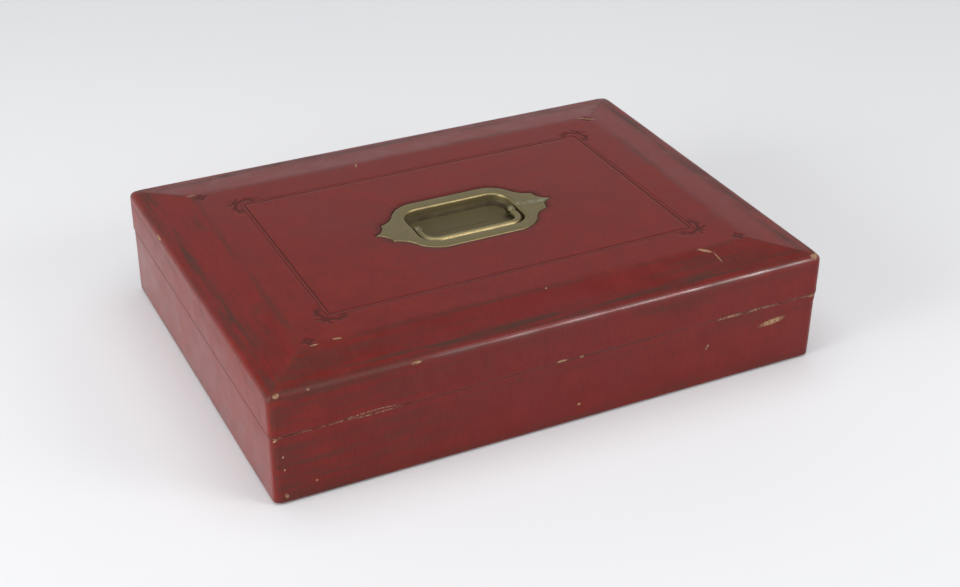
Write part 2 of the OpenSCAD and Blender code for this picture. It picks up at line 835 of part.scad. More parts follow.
base_front_board();
base_back_board();
base_left_board();
base_right_board();
base_bottom_board();
base_leather();
underside_cover();
base_lining();
floor_pad();
tray_rests();
well_long_divider();
well_cross_dividers();
lock_case();
lock_cap();
lock_barrel();
lock_bolt();
escutcheon();
lock_screws();
hinge_base_leaf(-1);  // hinge_base_leaf_left
hinge_base_leaf(1);  // hinge_base_leaf_right
hinge_pins();
hinge_base_screws();
spine_leather();
tray_frame();
tray_bottom();
tray_long_divider();
tray_ring_dividers();
tray_cross_dividers();
tray_pad_front();
side_pad(-1, 0);  // tray_pad_left_front
side_pad(-1, 1);  // tray_pad_left_back
side_pad(1, 0);  // tray_pad_right_front
side_pad(1, 1);  // tray_pad_right_back
tray_pad_centre();
ring_roll(1);  // ring_roll_1
ring_roll(2);  // ring_roll_2
ring_roll(3);  // ring_roll_3
ring_roll(4);  // ring_roll_4
ring_roll(5);  // ring_roll_5
ring_roll(6);  // ring_roll_6
tray_tab(-1);  // tray_tab_left
tray_tab(1);  // tray_tab_right
lid_front_rail();
lid_back_rail();
lid_left_rail();
lid_right_rail();
lid_top_board();
lid_leather();
lid_lining();
lid_pad();
hinge_lid_leaf(-1);  // hinge_lid_leaf_left
hinge_lid_leaf(1);  // hinge_lid_leaf_right
hinge_lid_screws();
link_plate();
link_screws();
handle_plate();
handle_studs();
handle_nuts();
bail_pins();
handle_bail();
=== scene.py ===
"""The looks of a leather-covered jewellery case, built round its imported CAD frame."""
import json
import math

import bmesh
import bpy
import numpy as np
from mathutils import Matrix, Vector, geometry, noise


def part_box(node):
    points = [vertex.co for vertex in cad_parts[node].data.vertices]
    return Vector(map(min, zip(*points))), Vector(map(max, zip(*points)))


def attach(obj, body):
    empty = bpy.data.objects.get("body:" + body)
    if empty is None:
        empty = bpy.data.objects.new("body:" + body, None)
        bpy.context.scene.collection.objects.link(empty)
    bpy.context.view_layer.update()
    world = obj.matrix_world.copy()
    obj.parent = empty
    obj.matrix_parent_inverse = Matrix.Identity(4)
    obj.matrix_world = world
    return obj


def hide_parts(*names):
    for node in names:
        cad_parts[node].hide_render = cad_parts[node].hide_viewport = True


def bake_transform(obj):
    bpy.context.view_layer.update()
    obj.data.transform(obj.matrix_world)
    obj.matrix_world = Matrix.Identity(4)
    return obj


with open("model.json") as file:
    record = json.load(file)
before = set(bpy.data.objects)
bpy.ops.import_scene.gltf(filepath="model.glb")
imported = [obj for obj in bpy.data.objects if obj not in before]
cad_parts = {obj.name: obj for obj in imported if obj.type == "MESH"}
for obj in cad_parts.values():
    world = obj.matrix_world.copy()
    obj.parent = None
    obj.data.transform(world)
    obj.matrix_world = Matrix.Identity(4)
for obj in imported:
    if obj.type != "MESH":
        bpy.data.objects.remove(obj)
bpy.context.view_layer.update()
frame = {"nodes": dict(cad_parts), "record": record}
nodes = frame["nodes"]
scene = bpy.context.scene

MM = 0.001              # sizes below are in millimetres, Blender's are in metres


# ------------------------------------------------------------------ the frame's own sizes
def box_mm(name):
    low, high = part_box(name)
    return np.array(low) / MM, np.array(high) / MM


LID_LOW, LID_HIGH = box_mm("lid_leather")
BASE_LOW, BASE_HIGH = box_mm("base_leather")
PLATE_HIGH = box_mm("handle_plate")[1]

LID_X, LID_Y = LID_HIGH[0], LID_HIGH[1]          # half the lid's width and depth
BASE_X, BASE_Y = BASE_HIGH[0], BASE_HIGH[1]
FIELD_Z = LID_HIGH[2]
JOINT_Z = (LID_LOW[2] + BASE_HIGH[2]) / 2
MARGIN = 31             # width of the lid's sloping border
RISE = 4                # height of the field above the outer edge
SLOPE = RISE / MARGIN
EDGE_Z = FIELD_Z - RISE
CREASE = 1.2            # how gently the slope turns into the field
CORNER_R = 4
TOP_R = 3
WALL = 9                # boards and leather together
GROOVE_Y = LID_Y - 4.8  # apex of the joint groove
OUT = 0.06              # how far thin leather stands off what it is glued to
STRIP_LAP = 0.5         # how far the hinge strip laps over the skins
UNEVEN = 0.055          # how far old leather wanders from flat
SEAM_IN = 6.2           # where the end pieces' leather stops on the long faces
WELD = 0.004            # points closer than this are one
BACK_ENDS = 88          # beyond this the joint's crack is deep and pale


# ------------------------------------------------------------------ meshes
def linked(name, data):
    obj = bpy.data.objects.new(name, data)
    scene.collection.objects.link(obj)
    return obj


def new_object(name, verts, faces, smooth=True, angle=40):
    """A mesh object from points in millimetres."""
    mesh = bpy.data.meshes.new(name)
    mesh.from_pydata((np.asarray(verts, float) * MM).tolist(), [], faces)
    mesh.validate()
    obj = linked(name, mesh)
    tidy(obj)
    if smooth:
        soften(obj, angle)
    return obj


def tidy(obj):
    """Welds doubles and points every face outward."""
    work = bmesh.new()
    work.from_mesh(obj.data)
    bmesh.ops.remove_doubles(work, verts=work.verts, dist=WELD * MM)
    bmesh.ops.recalc_face_normals(work, faces=work.faces)
    work.to_mesh(obj.data)
    work.free()


def soften(obj, angle=40):
    obj.data.shade_smooth()
    obj.data.set_sharp_from_angle(angle=math.radians(angle))


def apply_modifiers(obj):
    """Replaces the mesh with what its modifiers make of it."""
    graph = bpy.context.evaluated_depsgraph_get()
    graph.update()
    mesh = bpy.data.meshes.new_from_object(obj.evaluated_get(graph))
    obj.modifiers.clear()
    old = obj.data
    obj.data = mesh
    bpy.data.meshes.remove(old)
    return obj


def thicken(obj, thickness, offset=-1):
    solid = obj.modifiers.new("thickness", "SOLIDIFY")
    solid.thickness = thickness * MM
    solid.offset = offset
    solid.use_even_offset = False
    return apply_modifiers(obj)


def points_of(obj):
    co = np.zeros(len(obj.data.vertices) * 3)
    obj.data.vertices.foreach_get("co", co)
    return co.reshape(-1, 3) / MM


def move_points(obj, points):
    obj.data.vertices.foreach_set("co", (np.asarray(points) * MM).ravel())
    obj.data.update()


def set_attribute(obj, name, values):
    attribute = obj.data.attributes.get(name) or obj.data.attributes.new(name, "FLOAT", "POINT")
    attribute.data.foreach_set("value", np.clip(values, 0, 1).astype(np.float32))


def dress(finish, obj, body, slot, *replaced):
    """Gives a piece its material and the body it rides on, if any, and hides the nodes it stands for; slot is
    not used.
    """
    finish.paint(obj)
    if body:
        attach(obj, body)
    if replaced:
        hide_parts(*replaced)


def waves(points, size, seed):
    """Smooth noise from -1 to 1 at each point, about size millimetres from crest to crest."""
    shift = Vector((seed * 7.3, seed * 3.1, seed * 5.7))
    return np.array([noise.noise(Vector(p) / size + shift) for p in points])


def bump_at(value, place, width):
    return np.exp(-((value - place) / width) ** 2)


def quads(rows, columns, closed=True, start=0):
    """Faces between rows of points that lie one after the other."""
    faces = []
    for r in range(rows - 1):
        for c in range(columns if closed else columns - 1):
            a, b = start + r * columns + c, start + r * columns + (c + 1) % columns
            faces.append((a, b, b + columns, a + columns))
    return faces


def capped(rows, columns, start=0):
    """The same, with a face over each end."""
    last = start + (rows - 1) * columns
    return quads(rows, columns, start=start) + [
        tuple(range(start, start + columns)), tuple(range(last + columns - 1, last - 1, -1))]


def bridge(before, after, count):
    """Faces between two closed runs of points, from their first indices or lists of them."""
    return [(before[k], before[(k + 1) % count], after[(k + 1) % count], after[k]) for k in range(count)]


def cut(work, faces, place, normal):
    """Cuts these faces along a plane."""
    corners = dict.fromkeys(v for f in faces for v in f.verts)
    edges = dict.fromkeys(e for f in faces for e in f.edges)
    bmesh.ops.bisect_plane(work, geom=[*corners, *edges, *faces], plane_co=place, plane_no=normal, dist=1e-7)


# ------------------------------------------------------------------ outlines
def arc(centre, start, end, steps):
    """Points from start to end, the short way round centre, without the last one."""
    a = math.atan2(start[1] - centre[1], start[0] - centre[0])
    b = math.atan2(end[1] - centre[1], end[0] - centre[0])
    turn = (b - a + math.pi) % (2 * math.pi) - math.pi
    r0 = math.dist(centre, start)
    r1 = math.dist(centre, end)
    out = []
    for i in range(steps):
        t = i / steps
        r = r0 + (r1 - r0) * t
        out.append((centre[0] + r * math.cos(a + turn * t), centre[1] + r * math.sin(a + turn * t)))
    return out


def arc_centre(p, q, r):
    half = math.dist(p, q) / 2
    n = ((q[1] - p[1]) / (2 * half), (p[0] - q[0]) / (2 * half))
    rise = math.sqrt(r * r - half * half)
    return ((p[0] + q[0]) / 2 - n[0] * rise, (p[1] + q[1]) / 2 - n[1] * rise)


def plate_outline():
    """The brass plate from above: rounded shoulders, a cusp and a pointed tip at each end."""
    tip, half_d = PLATE_HIGH[0], PLATE_HIGH[1]
    shoulder_r, shoulder_x = 18.2, 22
    shoulder_end = (38.6, 17.2)
    cusp = (tip - 7.3, 9.8)
    quarter = arc(arc_centre(cusp, (tip, 0), 10), (tip, 0), cusp, 7)
    quarter += arc(arc_centre(shoulder_end, cusp, 16.5), cusp, shoulder_end, 7)
    quarter += arc((shoulder_x, half_d - shoulder_r), shoulder_end, (shoulder_x, half_d), 14)
    quarter += [(shoulder_x * (1 - t / 6), half_d) for t in range(6)] + [(0, half_d)]
    left = [(-x, y) for x, y in quarter[-2:0:-1]] + [(-tip, 0)]
    top = quarter + left
    return np.array(top + [(x, -y) for x, y in top[-2:0:-1]])


PLATE_LOOP = plate_outline()


def rounded_rect(half_x, half_y, r, steps=10, per_side=12):
    """A rounded rectangle, anticlockwise."""
    out = []
    corners = [(half_x - r, half_y - r, 0), (r - half_x, half_y - r, 90),
               (r - half_x, r - half_y, 180), (half_x - r, r - half_y, 270)]
    for i, (cx, cy, a) in enumerate(corners):
        turn = [math.radians(a + 90 * k / steps) for k in range(steps + 1)]
        out += [(cx + r * math.cos(t), cy + r * math.sin(t)) for t in turn]
        nx, ny, b = corners[(i + 1) % 4]
        last = np.array(out[-1])
        end = (nx + r * math.cos(math.radians(b)), ny + r * math.sin(math.radians(b)))
        out += [tuple(last + (end - last) * k / per_side) for k in range(1, per_side)]
    return np.array(out)


def grown(loop, by):
    """An anticlockwise outline moved outward."""
    before, after = np.roll(loop, 1, 0), np.roll(loop, -1, 0)
    d0 = (loop - before) / np.linalg.norm(loop - before, axis=1)[:, None]
    d1 = (after - loop) / np.linalg.norm(after - loop, axis=1)[:, None]
    n = np.stack([d0[:, 1] + d1[:, 1], -d0[:, 0] - d1[:, 0]], 1)
    n /= np.linalg.norm(n, axis=1)[:, None]
    cos_half = np.clip((n * np.stack([d0[:, 1], -d0[:, 0]], 1)).sum(1), 0.45, 1)
    return loop + n * (by / cos_half)[:, None]


def inside(point, loop):
    x, y = point
    x0, y0 = loop[:, 0], loop[:, 1]
    x1, y1 = np.roll(x0, -1), np.roll(y0, -1)
    crosses = (y0 > y) != (y1 > y)
    with np.errstate(divide="ignore", invalid="ignore"):
        at = x0 + (y - y0) * (x1 - x0) / (y1 - y0)
    return bool(np.count_nonzero(crosses & (x < at)) % 2)


def between(outer, hole, z, start, spare=()):
    """Triangles between two loops at one height. Gives (points, faces, where each loop's points are)."""
    points = [Vector(p) for p in [*map(tuple, outer), *map(tuple, hole), *spare]]
    n_out, n_in = len(outer), len(hole)
    edges = [(k, (k + 1) % n_out) for k in range(n_out)]
    edges += [(n_out + k, n_out + (k + 1) % n_in) for k in range(n_in)]
    out = geometry.delaunay_2d_cdt(points, edges, [], 0, 1e-6)
    flat = np.array([tuple(v) for v in out[0]])
    kept = []
    for f in out[2]:
        centre = flat[list(f)].mean(0)
        if inside(centre, outer) and not inside(centre, hole):
            kept.append(tuple(start + k for k in f))
    at = [[start + int(np.hypot(*(flat - p).T).argmin()) for p in loop] for loop in (outer, hole)]
    return np.column_stack([flat, np.full(len(flat), z)]), kept, at


def wall_down(verts, faces, before, loops, start):
    """Rings of points hung from a loop, each joined to the one before."""
    for xy, z in loops:
        n = len(xy)
        verts.append(np.column_stack([xy, np.full(n, z)]))
        after = range(start, start + n)
        faces += bridge(before, after, n)
        before = after
        start += n
    return before, start


# ------------------------------------------------------------------ the lid's tooling
FRAME_IN = 52           # inset of the tooled frame from the lid's outer faces
LINE_A, LINE_B = 52.3, 54.4
STAMP_IN = 34.6
PRESSED = 0.24          # depth of the tooling


def ring_stroke(u, v, cu, cv, r, width, low=-180, high=180):
    """An arc of the tooling: 1 on its line, 0 away from it."""
    du, dv = u - cu, v - cv
    angle = np.degrees(np.arctan2(dv, du))
    return bump_at(np.hypot(du, dv), r, width) * ((angle >= low) & (angle <= high))


def tooling(x, y):
    """How deep the blind tooling is pressed at each point of the lid, from 0 to 1."""
    inset = np.minimum(LID_X - np.abs(x), LID_Y - np.abs(y))
    out = np.maximum(0.75 * bump_at(inset, LINE_A, 0.26), bump_at(inset, LINE_B, 0.42))
    u = np.abs(x) - (LID_X - FRAME_IN)
    v = np.abs(y) - (LID_Y - FRAME_IN)
    for a, b in ((u, v), (v, u)):
        scroll = ring_stroke(a, b, -5.0, -4.6, 7.9, 0.8, 40, 112)
        curl = ring_stroke(a, b, -9.6, 1.9, 1.5, 0.7)
        leaf = ring_stroke(a, b, -1.6, 4.3, 2.2, 0.8, -130, 70)
        bud = bump_at(np.hypot((a + 4.8) / 1.7, b - 4.6), 0, 1.0)
        out = np.maximum.reduce([out, 0.85 * scroll, 0.85 * curl, 0.7 * leaf, 0.8 * bud])
    out = np.maximum(out, 0.85 * bump_at(np.hypot(u - 2.2, v - 2.2), 0, 1.7))
    su, sv = np.abs(x) - (LID_X - STAMP_IN), np.abs(y) - (LID_Y - STAMP_IN)
    radius, turn = np.hypot(su, sv), np.arctan2(sv, su)
    petals = 2.3 + 1.5 * np.cos(2 * turn) ** 2
    return np.maximum(out, 0.66 / (1 + np.exp((radius - petals) / 0.3)) * (radius > 0.7))


def top_height(inset):
    """The lid's height this far in from its faces."""
    return FIELD_Z - SLOPE * CREASE * np.log1p(np.exp((MARGIN - inset) / CREASE))


def lid_height(x, y):
    return top_height(np.minimum(LID_X - np.abs(x), LID_Y - np.abs(y)))


# ------------------------------------------------------------------ the leather shells
def lines(half, insets):
    """Grid lines both sides of the middle, at these insets from a face half away."""
    places = [half - m for m in insets if half - m > 1.2]
    return np.array([-p for p in places] + [0.0] + places[::-1])


def loop_of(xs, ys):
    """The grid's rim, anticlockwise, as (column, row) pairs."""
    nx, ny = len(xs) - 1, len(ys) - 1
    return ([(i, 0) for i in range(nx)] + [(nx, j) for j in range(ny)]
            + [(i, ny) for i in range(nx, 0, -1)] + [(0, j) for j in range(ny, 0, -1)])


def ring(rim, half_x, half_y, r):
    """The rim's points spread round a rounded rectangle."""
    full_x, full_y = np.abs(rim[:, 0]).max(), np.abs(rim[:, 1]).max()
    x, y = rim[:, 0] / full_x * half_x, rim[:, 1] / full_y * half_y
    on_end = np.abs(np.abs(x) - half_x) < 1e-6
    along = np.where(on_end, half_y - np.abs(y), half_x - np.abs(x))
    turn = np.radians(45) * (1 - np.clip(along / max(r, 1e-6), 0, 1))
    near, far = r * np.sin(turn), r * np.cos(turn)
    bent = along < r
    px = np.where(bent, half_x - r + np.where(on_end, far, near), np.abs(x))
    py = np.where(bent, half_y - r + np.where(on_end, near, far), np.abs(y))
    return np.stack([np.sign(x) * px, np.sign(y) * py], 1)


def arc_profile(cm, cz, r, start, end, steps):
    """(inset, height) points on a rounding."""
    turns = np.radians(np.linspace(start, end, steps))
    return [(cm + r * math.cos(t), cz + r * math.sin(t)) for t in turns]


def lid_profile():
    """(inset, height) from the foot of the field's rim outward, down the wall and under its edge."""
    slope = [(m, None) for m in (30.2, 29.2, 28, 26.5, 24.5, 22, 19.5, 17, 14.5, 12.2,
                                 10.2, 8.6, 7, 5.5, 4.2, 3.3)]
    tilt = math.degrees(math.atan(SLOPE))
    centre_z = EDGE_Z + SLOPE * TOP_R - TOP_R / math.cos(math.radians(tilt))
    edge = arc_profile(TOP_R, centre_z, TOP_R, 90 + tilt, 180, 9)
    wall = [(0, z) for z in (62.6, 60.8, 58.5, 56, 53.5, 51, 48.8, 46.8, 45.2, 43.8)]
    low = LID_LOW[2] - OUT
    foot = arc_profile(0.9, low + 0.9, 0.9, 180, 270, 6)
    rim = [(m, low) for m in (1.8, 3, 4.8, 6.8, 8.7)]
    return slope + edge + wall + foot + rim + [(WALL, low + 0.35), (WALL, low + 1.9)]


DENTS = (               # where corners are knocked in: place, reach, depth
    ((161.5, 119.5, 65.5), 3.2, 0.8), ((-161.5, 119, 65.8), 3.6, 0.7), ((162, -119, 65.6), 3, 0.5),
    ((-162, -119.5, 65.5), 3, 0.5), ((161, 118.5, 4), 3.4, 0.7), ((-161, 119, 4), 3, 0.6),
    ((85, 121.8, 65.4), 3.2, 0.35), ((27, 121.6, 37), 2.6, 0.25), ((-60, 121.5, 64.8), 5, 0.25),
    ((20, 121.5, 64.8), 6, 0.2), ((-120, 121.5, 64.8), 4, 0.2), ((164.5, 20, 64.8), 6, 0.2))


def handled(points, half_x, half_y, amount):
    """Old leather's gentle unevenness and its knocked corners."""
    out = points.copy()
    inset = np.minimum(half_x - np.abs(points[:, 0]), half_y - np.abs(points[:, 1]))
    lift = amount * (waves(points, 34, 1) + 0.5 * waves(points, 11, 2) + 0.25 * waves(points, 4.5, 3))
    on_wall = (inset < 0.8) & (points[:, 2] > 1.5)
    on_end = (half_x - np.abs(points[:, 0])) < (half_y - np.abs(points[:, 1]))
    on_top = (inset >= 0.8) & (points[:, 2] > JOINT_Z + 8)
    out[:, 2] += np.where(on_top, lift, 0)
    out[:, 0] += np.where(on_wall & on_end, lift * np.sign(points[:, 0]), 0)
    out[:, 1] += np.where(on_wall & ~on_end, lift * np.sign(points[:, 1]), 0)
    for place, reach, depth in DENTS:
        toward = np.array([place[0] * 0.9, place[1] * 0.9, JOINT_Z]) - np.array(place)
        toward /= np.linalg.norm(toward)
        near = np.exp(-(np.linalg.norm(points - np.array(place), axis=1) / reach) ** 2)
        out += near[:, None] * toward * depth
    return out


def lapped(points, half_x, half_y, step=0.16):
    """The end pieces' leather laps round onto the long faces, and its pared edge shows as a low step."""
    seam = half_x - SEAM_IN + 0.3 * waves(points, 6, 9)
    on_long = (half_y - np.abs(points[:, 1]) < 0.8) & (np.abs(points[:, 0]) < half_x - CORNER_R + 1)
    rise = step * (0.5 + 0.5 * np.tanh((np.abs(points[:, 0]) - seam) / 0.36))
    flat = points[:, 2] < EDGE_Z - 3
    out = points.copy()
    out[:, 1] += np.where(on_long & flat, rise * np.sign(points[:, 1]), 0)
    return out


def remove_groove(work, upper):
    """Cuts a shell at the joint groove's 45 degree face and drops what lies beyond it."""
    sign = 1 if upper else -1
    normal = Vector((0, -1, sign)).normalized()
    place = Vector((0, GROOVE_Y + STRIP_LAP, JOINT_Z)) * MM
    cut(work, [f for f in work.faces if f.calc_center_median().y > (GROOVE_Y - 6) * MM
               and abs(f.calc_center_median().z - JOINT_Z * MM) < 9 * MM], place, normal)

    def is_beyond(f):
        c = f.calc_center_median()
        return c.y > (GROOVE_Y - 1) * MM and (c - place).dot(normal) < 0 and abs(c.z / MM - JOINT_Z) < 7

    bmesh.ops.delete(work, geom=[f for f in work.faces if is_beyond(f)], context="FACES")


def cut_rim(work, low, high):
    """Takes the turned-in rim away over a fitting let into it. low and high are (x, y) in millimetres."""
    def is_rim(f):
        c = f.calc_center_median() / MM
        return abs(c.z - JOINT_Z) < 2.6 and (
            abs(f.normal.z) > 0.3 or max(abs(c.x) - LID_X, abs(c.y) - LID_Y) < -8)

    def is_over(f):
        c = f.calc_center_median() / MM
        return is_rim(f) and low[0] < c.x < high[0] and low[1] < c.y < high[1]

    for value, axis in ((low[0], 0), (high[0], 0), (low[1], 1), (high[1], 1)):
        place, normal = Vector(), Vector()
        place[axis], normal[axis] = value * MM, 1
        cut(work, [f for f in work.faces if is_rim(f)], place, normal)
    bmesh.ops.delete(work, geom=[f for f in work.faces if is_over(f)], context="FACES")


def fittings_in_rim(upper):
    """(low, high) corners of what is let into the rim: two hinge leaves and the lock or its link plate."""
    names = ["hinge_lid_leaf_left", "hinge_lid_leaf_right", "link_plate"] if upper else [
        "hinge_base_leaf_left", "hinge_base_leaf_right", "lock_case"]
    out = []
    for name in names:
        low, high = box_mm(name)
        inner = -LID_Y + WALL + 1 if high[1] < 0 else high[1]
        outer = low[1] if high[1] < 0 else LID_Y - WALL - 1
        a = (low[0] - 0.1, min(inner, outer) - 0.1)
        b = (high[0] + 0.1, max(inner, outer) + 0.1)
        out.append((a, b))
    return out


def finish_shell(name, verts, faces, upper, thickness=0.4):
    obj = new_object(name, verts, faces, smooth=False)
    work = bmesh.new()
    work.from_mesh(obj.data)
    remove_groove(work, upper)
    for low, high in fittings_in_rim(upper):
        cut_rim(work, low, high)
    loose = [v for v in work.verts if not v.link_faces]
    bmesh.ops.delete(work, geom=loose, context="VERTS")
    work.to_mesh(obj.data)
    work.free()
    thicken(obj, thickness)
    tidy(obj)
    soften(obj, 50)
    return obj


PATCH_X, PATCH_Y = 62, 34   # field cells inside this are made again round the plate's opening


def lid_shell():
    """The lid's one skin: field, mitred slopes, rounded edge, walls and the turned-in rim."""
    # fine under the stamps and flourishes, finest under the two lines of tooling, coarse elsewhere
    insets = [*np.arange(MARGIN, 38.6, 0.56), *np.arange(39.3, 42.6, 1.6), *np.arange(43, 51.8, 0.54),
              51.95, 52.12, 52.3, 52.48, 52.66, 52.9, 53.4, 53.8, 54.0, 54.2, 54.4, 54.6, 54.8, 55, 55.4,
              *np.arange(57, LID_X, 3.6)]
    xs, ys = lines(LID_X, insets), lines(LID_Y, insets)
    grid_x, grid_y = np.meshgrid(xs, ys, indexing="ij")
    flat = np.stack([grid_x.ravel(), grid_y.ravel()], 1)
    ny = len(ys)
    cells = [(i, j) for i in range(len(xs) - 1) for j in range(ny - 1)]
    middle = {(i, j) for i, j in cells
              if abs(xs[i] + xs[i + 1]) / 2 < PATCH_X and abs(ys[j] + ys[j + 1]) / 2 < PATCH_Y}
    faces = [(i * ny + j, (i + 1) * ny + j, (i + 1) * ny + j + 1, i * ny + j + 1)
             for i, j in cells if (i, j) not in middle]
    top = np.stack([flat[:, 0], flat[:, 1], lid_height(flat[:, 0], flat[:, 1])], 1)
    rim_at = loop_of(xs, ys)
    rim = np.array([(xs[i], ys[j]) for i, j in rim_at])
    verts, count = [top], len(top)
    before = [i * ny + j for i, j in rim_at]
    n = len(rim)
    for inset, z in lid_profile():
        r = max(CORNER_R - inset, 0.8)
        xy = ring(rim, LID_X - inset, LID_Y - inset, r)
        verts.append(np.column_stack([xy, np.full(n, top_height(inset) if z is None else z)]))
        after = range(count, count + n)
        faces += bridge(before, after, n)
        before = after
        count += n
    patch_verts, patch_faces = plate_opening(xs, ys, middle, count)
    points = np.vstack(verts + [patch_verts])
    points = handled(points, LID_X, LID_Y, UNEVEN)
    pressed = tooling(points[:, 0], points[:, 1]) * (points[:, 2] > EDGE_Z)
    points[:, 2] -= PRESSED * pressed
    points = lapped(points, LID_X, LID_Y)
    return finish_shell("lid_skin", points, faces + patch_faces, True)


def plate_opening(xs, ys, middle, start):
    """The field round the brass plate, down into the opening's cut edge."""
    (i0, j0), (i1, j1) = min(middle), max(middle)
    xs, ys = xs[i0:i1 + 2], ys[j0:j1 + 2]
    outer = np.array([(xs[i], ys[j]) for i, j in loop_of(xs, ys)])
    hole, clear = grown(PLATE_LOOP, 0.95), grown(PLATE_LOOP, 2.2)
    spare = [(x, y) for x in xs[1:-1] for y in ys[1:-1] if not inside((x, y), clear)]
    around, faces, (_, at_hole) = between(outer, hole, FIELD_Z, start, spare)
    around[:, 2] = lid_height(around[:, 0], around[:, 1])
    edge = [(grown(PLATE_LOOP, grow), FIELD_Z - drop)
            for grow, drop in ((0.62, 0.06), (0.45, 0.22), (0.4, 0.5), (0.4, 1.35))]
    verts = [around]
    wall_down(verts, faces, at_hole, edge, start + len(around))
    return np.vstack(verts), faces


def base_profile():
    """(inset, height) from the turned-under edge, up the wall and over the rim."""
    low = BASE_LOW[2] - 0.02
    under = [(12, low), (9, low), (6, low), (3, low)]
    foot = arc_profile(1.2, low + 1.2, 1.2, 270, 180, 6)
    wall = [(0, z) for z in np.arange(3.4, 40.6, 1.5)]
    top = BASE_HIGH[2] + OUT
    edge = arc_profile(0.9, top - 0.9, 0.9, 180, 90, 6)
    rim = [(m, top) for m in (1.8, 2.9, 4.3, 6.4, 8.6)]
    return under + foot + wall + edge + rim + [(WALL - 0.02, top - 0.35), (WALL - 0.02, top - 1.3)]


def base_shell():
    insets = [*np.arange(0.5, 7, 0.55), *np.arange(8, BASE_X - 12, 3.1)]
    insets_x = [*insets, *np.arange(BASE_X - 11.4, BASE_X - 1.3, 1.4)]      # finer round the keyhole
    xs, ys = lines(BASE_X, insets_x), lines(BASE_Y, insets)
    rim = np.array([(xs[i], ys[j]) for i, j in loop_of(xs, ys)])
    n, verts = len(rim), []
    profile = base_profile()
    for inset, z in profile:
        xy = ring(rim, BASE_X - inset, BASE_Y - inset, max(CORNER_R - inset, 0.8))
        verts.append(np.column_stack([xy, np.full(n, z)]))
    points = handled(np.vstack(verts), BASE_X, BASE_Y, UNEVEN)
    points = lapped(points, BASE_X, BASE_Y)
    faces = keyhole(points, quads(len(profile), n))
    return finish_shell("base_skin", points, faces, False)


def keyhole(points, faces):
    """Opens the front skin behind the escutcheon, as a round hole."""
    low, high = box_mm("escutcheon")
    centre = (low + high) / 2
    radius = (high[0] - low[0]) / 2 - 1.6
    on_front = points[:, 1] < -BASE_Y + 1.5
    gap = np.hypot(points[:, 0] - centre[0], points[:, 2] - centre[2])
    gone = on_front & (gap < radius)
    kept = [f for f in faces if not any(gone[list(f)])]
    edge = {k for f in faces if any(gone[list(f)]) for k in f if not gone[k]}
    for k in edge:
        scale = radius / gap[k]
        points[k, 0] = centre[0] + (points[k, 0] - centre[0]) * scale
        points[k, 2] = centre[2] + (points[k, 2] - centre[2]) * scale
    return kept


# ------------------------------------------------------------------ the strip over the hinges
SLIT_X = 129            # beyond this the strip has split along the joint
CRACKS = ((108.5, 20), (-114, 22))   # middle and half length of the two worn places over the hinges


def strip_lines():
    """Heights across the strip as shares of its half width, closest together at the joint."""
    fine = np.arange(0.032, 0.62, 0.032)
    half = list(fine) + [0.68, 0.76, 0.84, 0.91, 0.96, 1.0]
    return np.array([-h for h in half[::-1]] + [0.0] + half)


def spine_strip():
    """The leather that bends at the joint, along the whole back and round its corners."""
    corner = np.radians(np.linspace(0, 90, 11))
    start_y = np.linspace(GROOVE_Y + 0.15, LID_Y - CORNER_R, 3)[:-1]
    right = [(LID_X, y, 1.0, 0.0) for y in start_y]
    right += [(LID_X - CORNER_R + CORNER_R * math.cos(t), LID_Y - CORNER_R + CORNER_R * math.sin(t),
               math.cos(t), math.sin(t)) for t in corner]
    across = [(x, LID_Y, 0.0, 1.0) for x in np.linspace(LID_X - CORNER_R, CORNER_R - LID_X, 262)[1:-1]]
    path = right + across + [(-x, y, -nx, ny) for x, y, nx, ny in right[::-1]]
    shares = strip_lines()
    rows, columns = len(shares), len(path)
    verts = []
    for share in shares:
        for x, y, nx, ny in path:
            half = y - GROOVE_Y
            z = JOINT_Z + share * half
            upper = 0.5 + 0.5 * math.tanh((z - JOINT_Z) / 1.1)
            taper = OUT * (1.5 - 1.1 * abs(share) ** 8)
            inward = (1 - upper) * (LID_X - BASE_X) - taper
            verts.append((x - nx * inward, y - ny * inward, z))
    points = np.array(verts)
    faces = []
    for r in range(rows - 1):
        for c in range(columns - 1):
            middle = points[[r * columns + c, (r + 1) * columns + c + 1]].mean(0)
            slit = abs(middle[2] - JOINT_Z) < 0.12 and abs(middle[0]) > SLIT_X
            if not slit:
                a = r * columns + c
                faces.append((a, a + columns, a + columns + 1, a + 1))
    points = worn_strip(handled(points, LID_X, LID_Y, UNEVEN))
    obj = new_object("spine_strip", points, faces, smooth=False)
    thicken(obj, 0.7)
    tidy(obj)
    soften(obj, 60)
    return obj


def crack_lines(points):
    """(distance to the nearest crack, 1 inside the two worn places) on the strip."""
    x, z = points[:, 0], points[:, 2] - JOINT_Z
    wander = 0.22 * waves(np.column_stack([x, x * 0, x * 0]), 9, 4)
    fine = 0.1 * waves(np.column_stack([x, x * 0, x * 0]), 2.2, 5)
    distance = np.abs(z - wander - fine)
    inside_patch = np.zeros(len(x))
    for middle, half in CRACKS:
        s = np.clip(1 - ((x - middle) / half) ** 2, 0, 1)
        size = 1.0 if middle > 0 else 0.4
        top, bottom = size * 1.55 * s + 0.1, -size * 0.75 * s + 0.1
        here = np.abs(x - middle) < half
        both = np.minimum(np.abs(z - wander - fine - top), np.abs(z - wander - fine - bottom))
        distance = np.where(here, both, distance)
        inside_patch = np.where(here & (z - wander < top) & (z - wander > bottom), 1, inside_patch)
    return distance, inside_patch


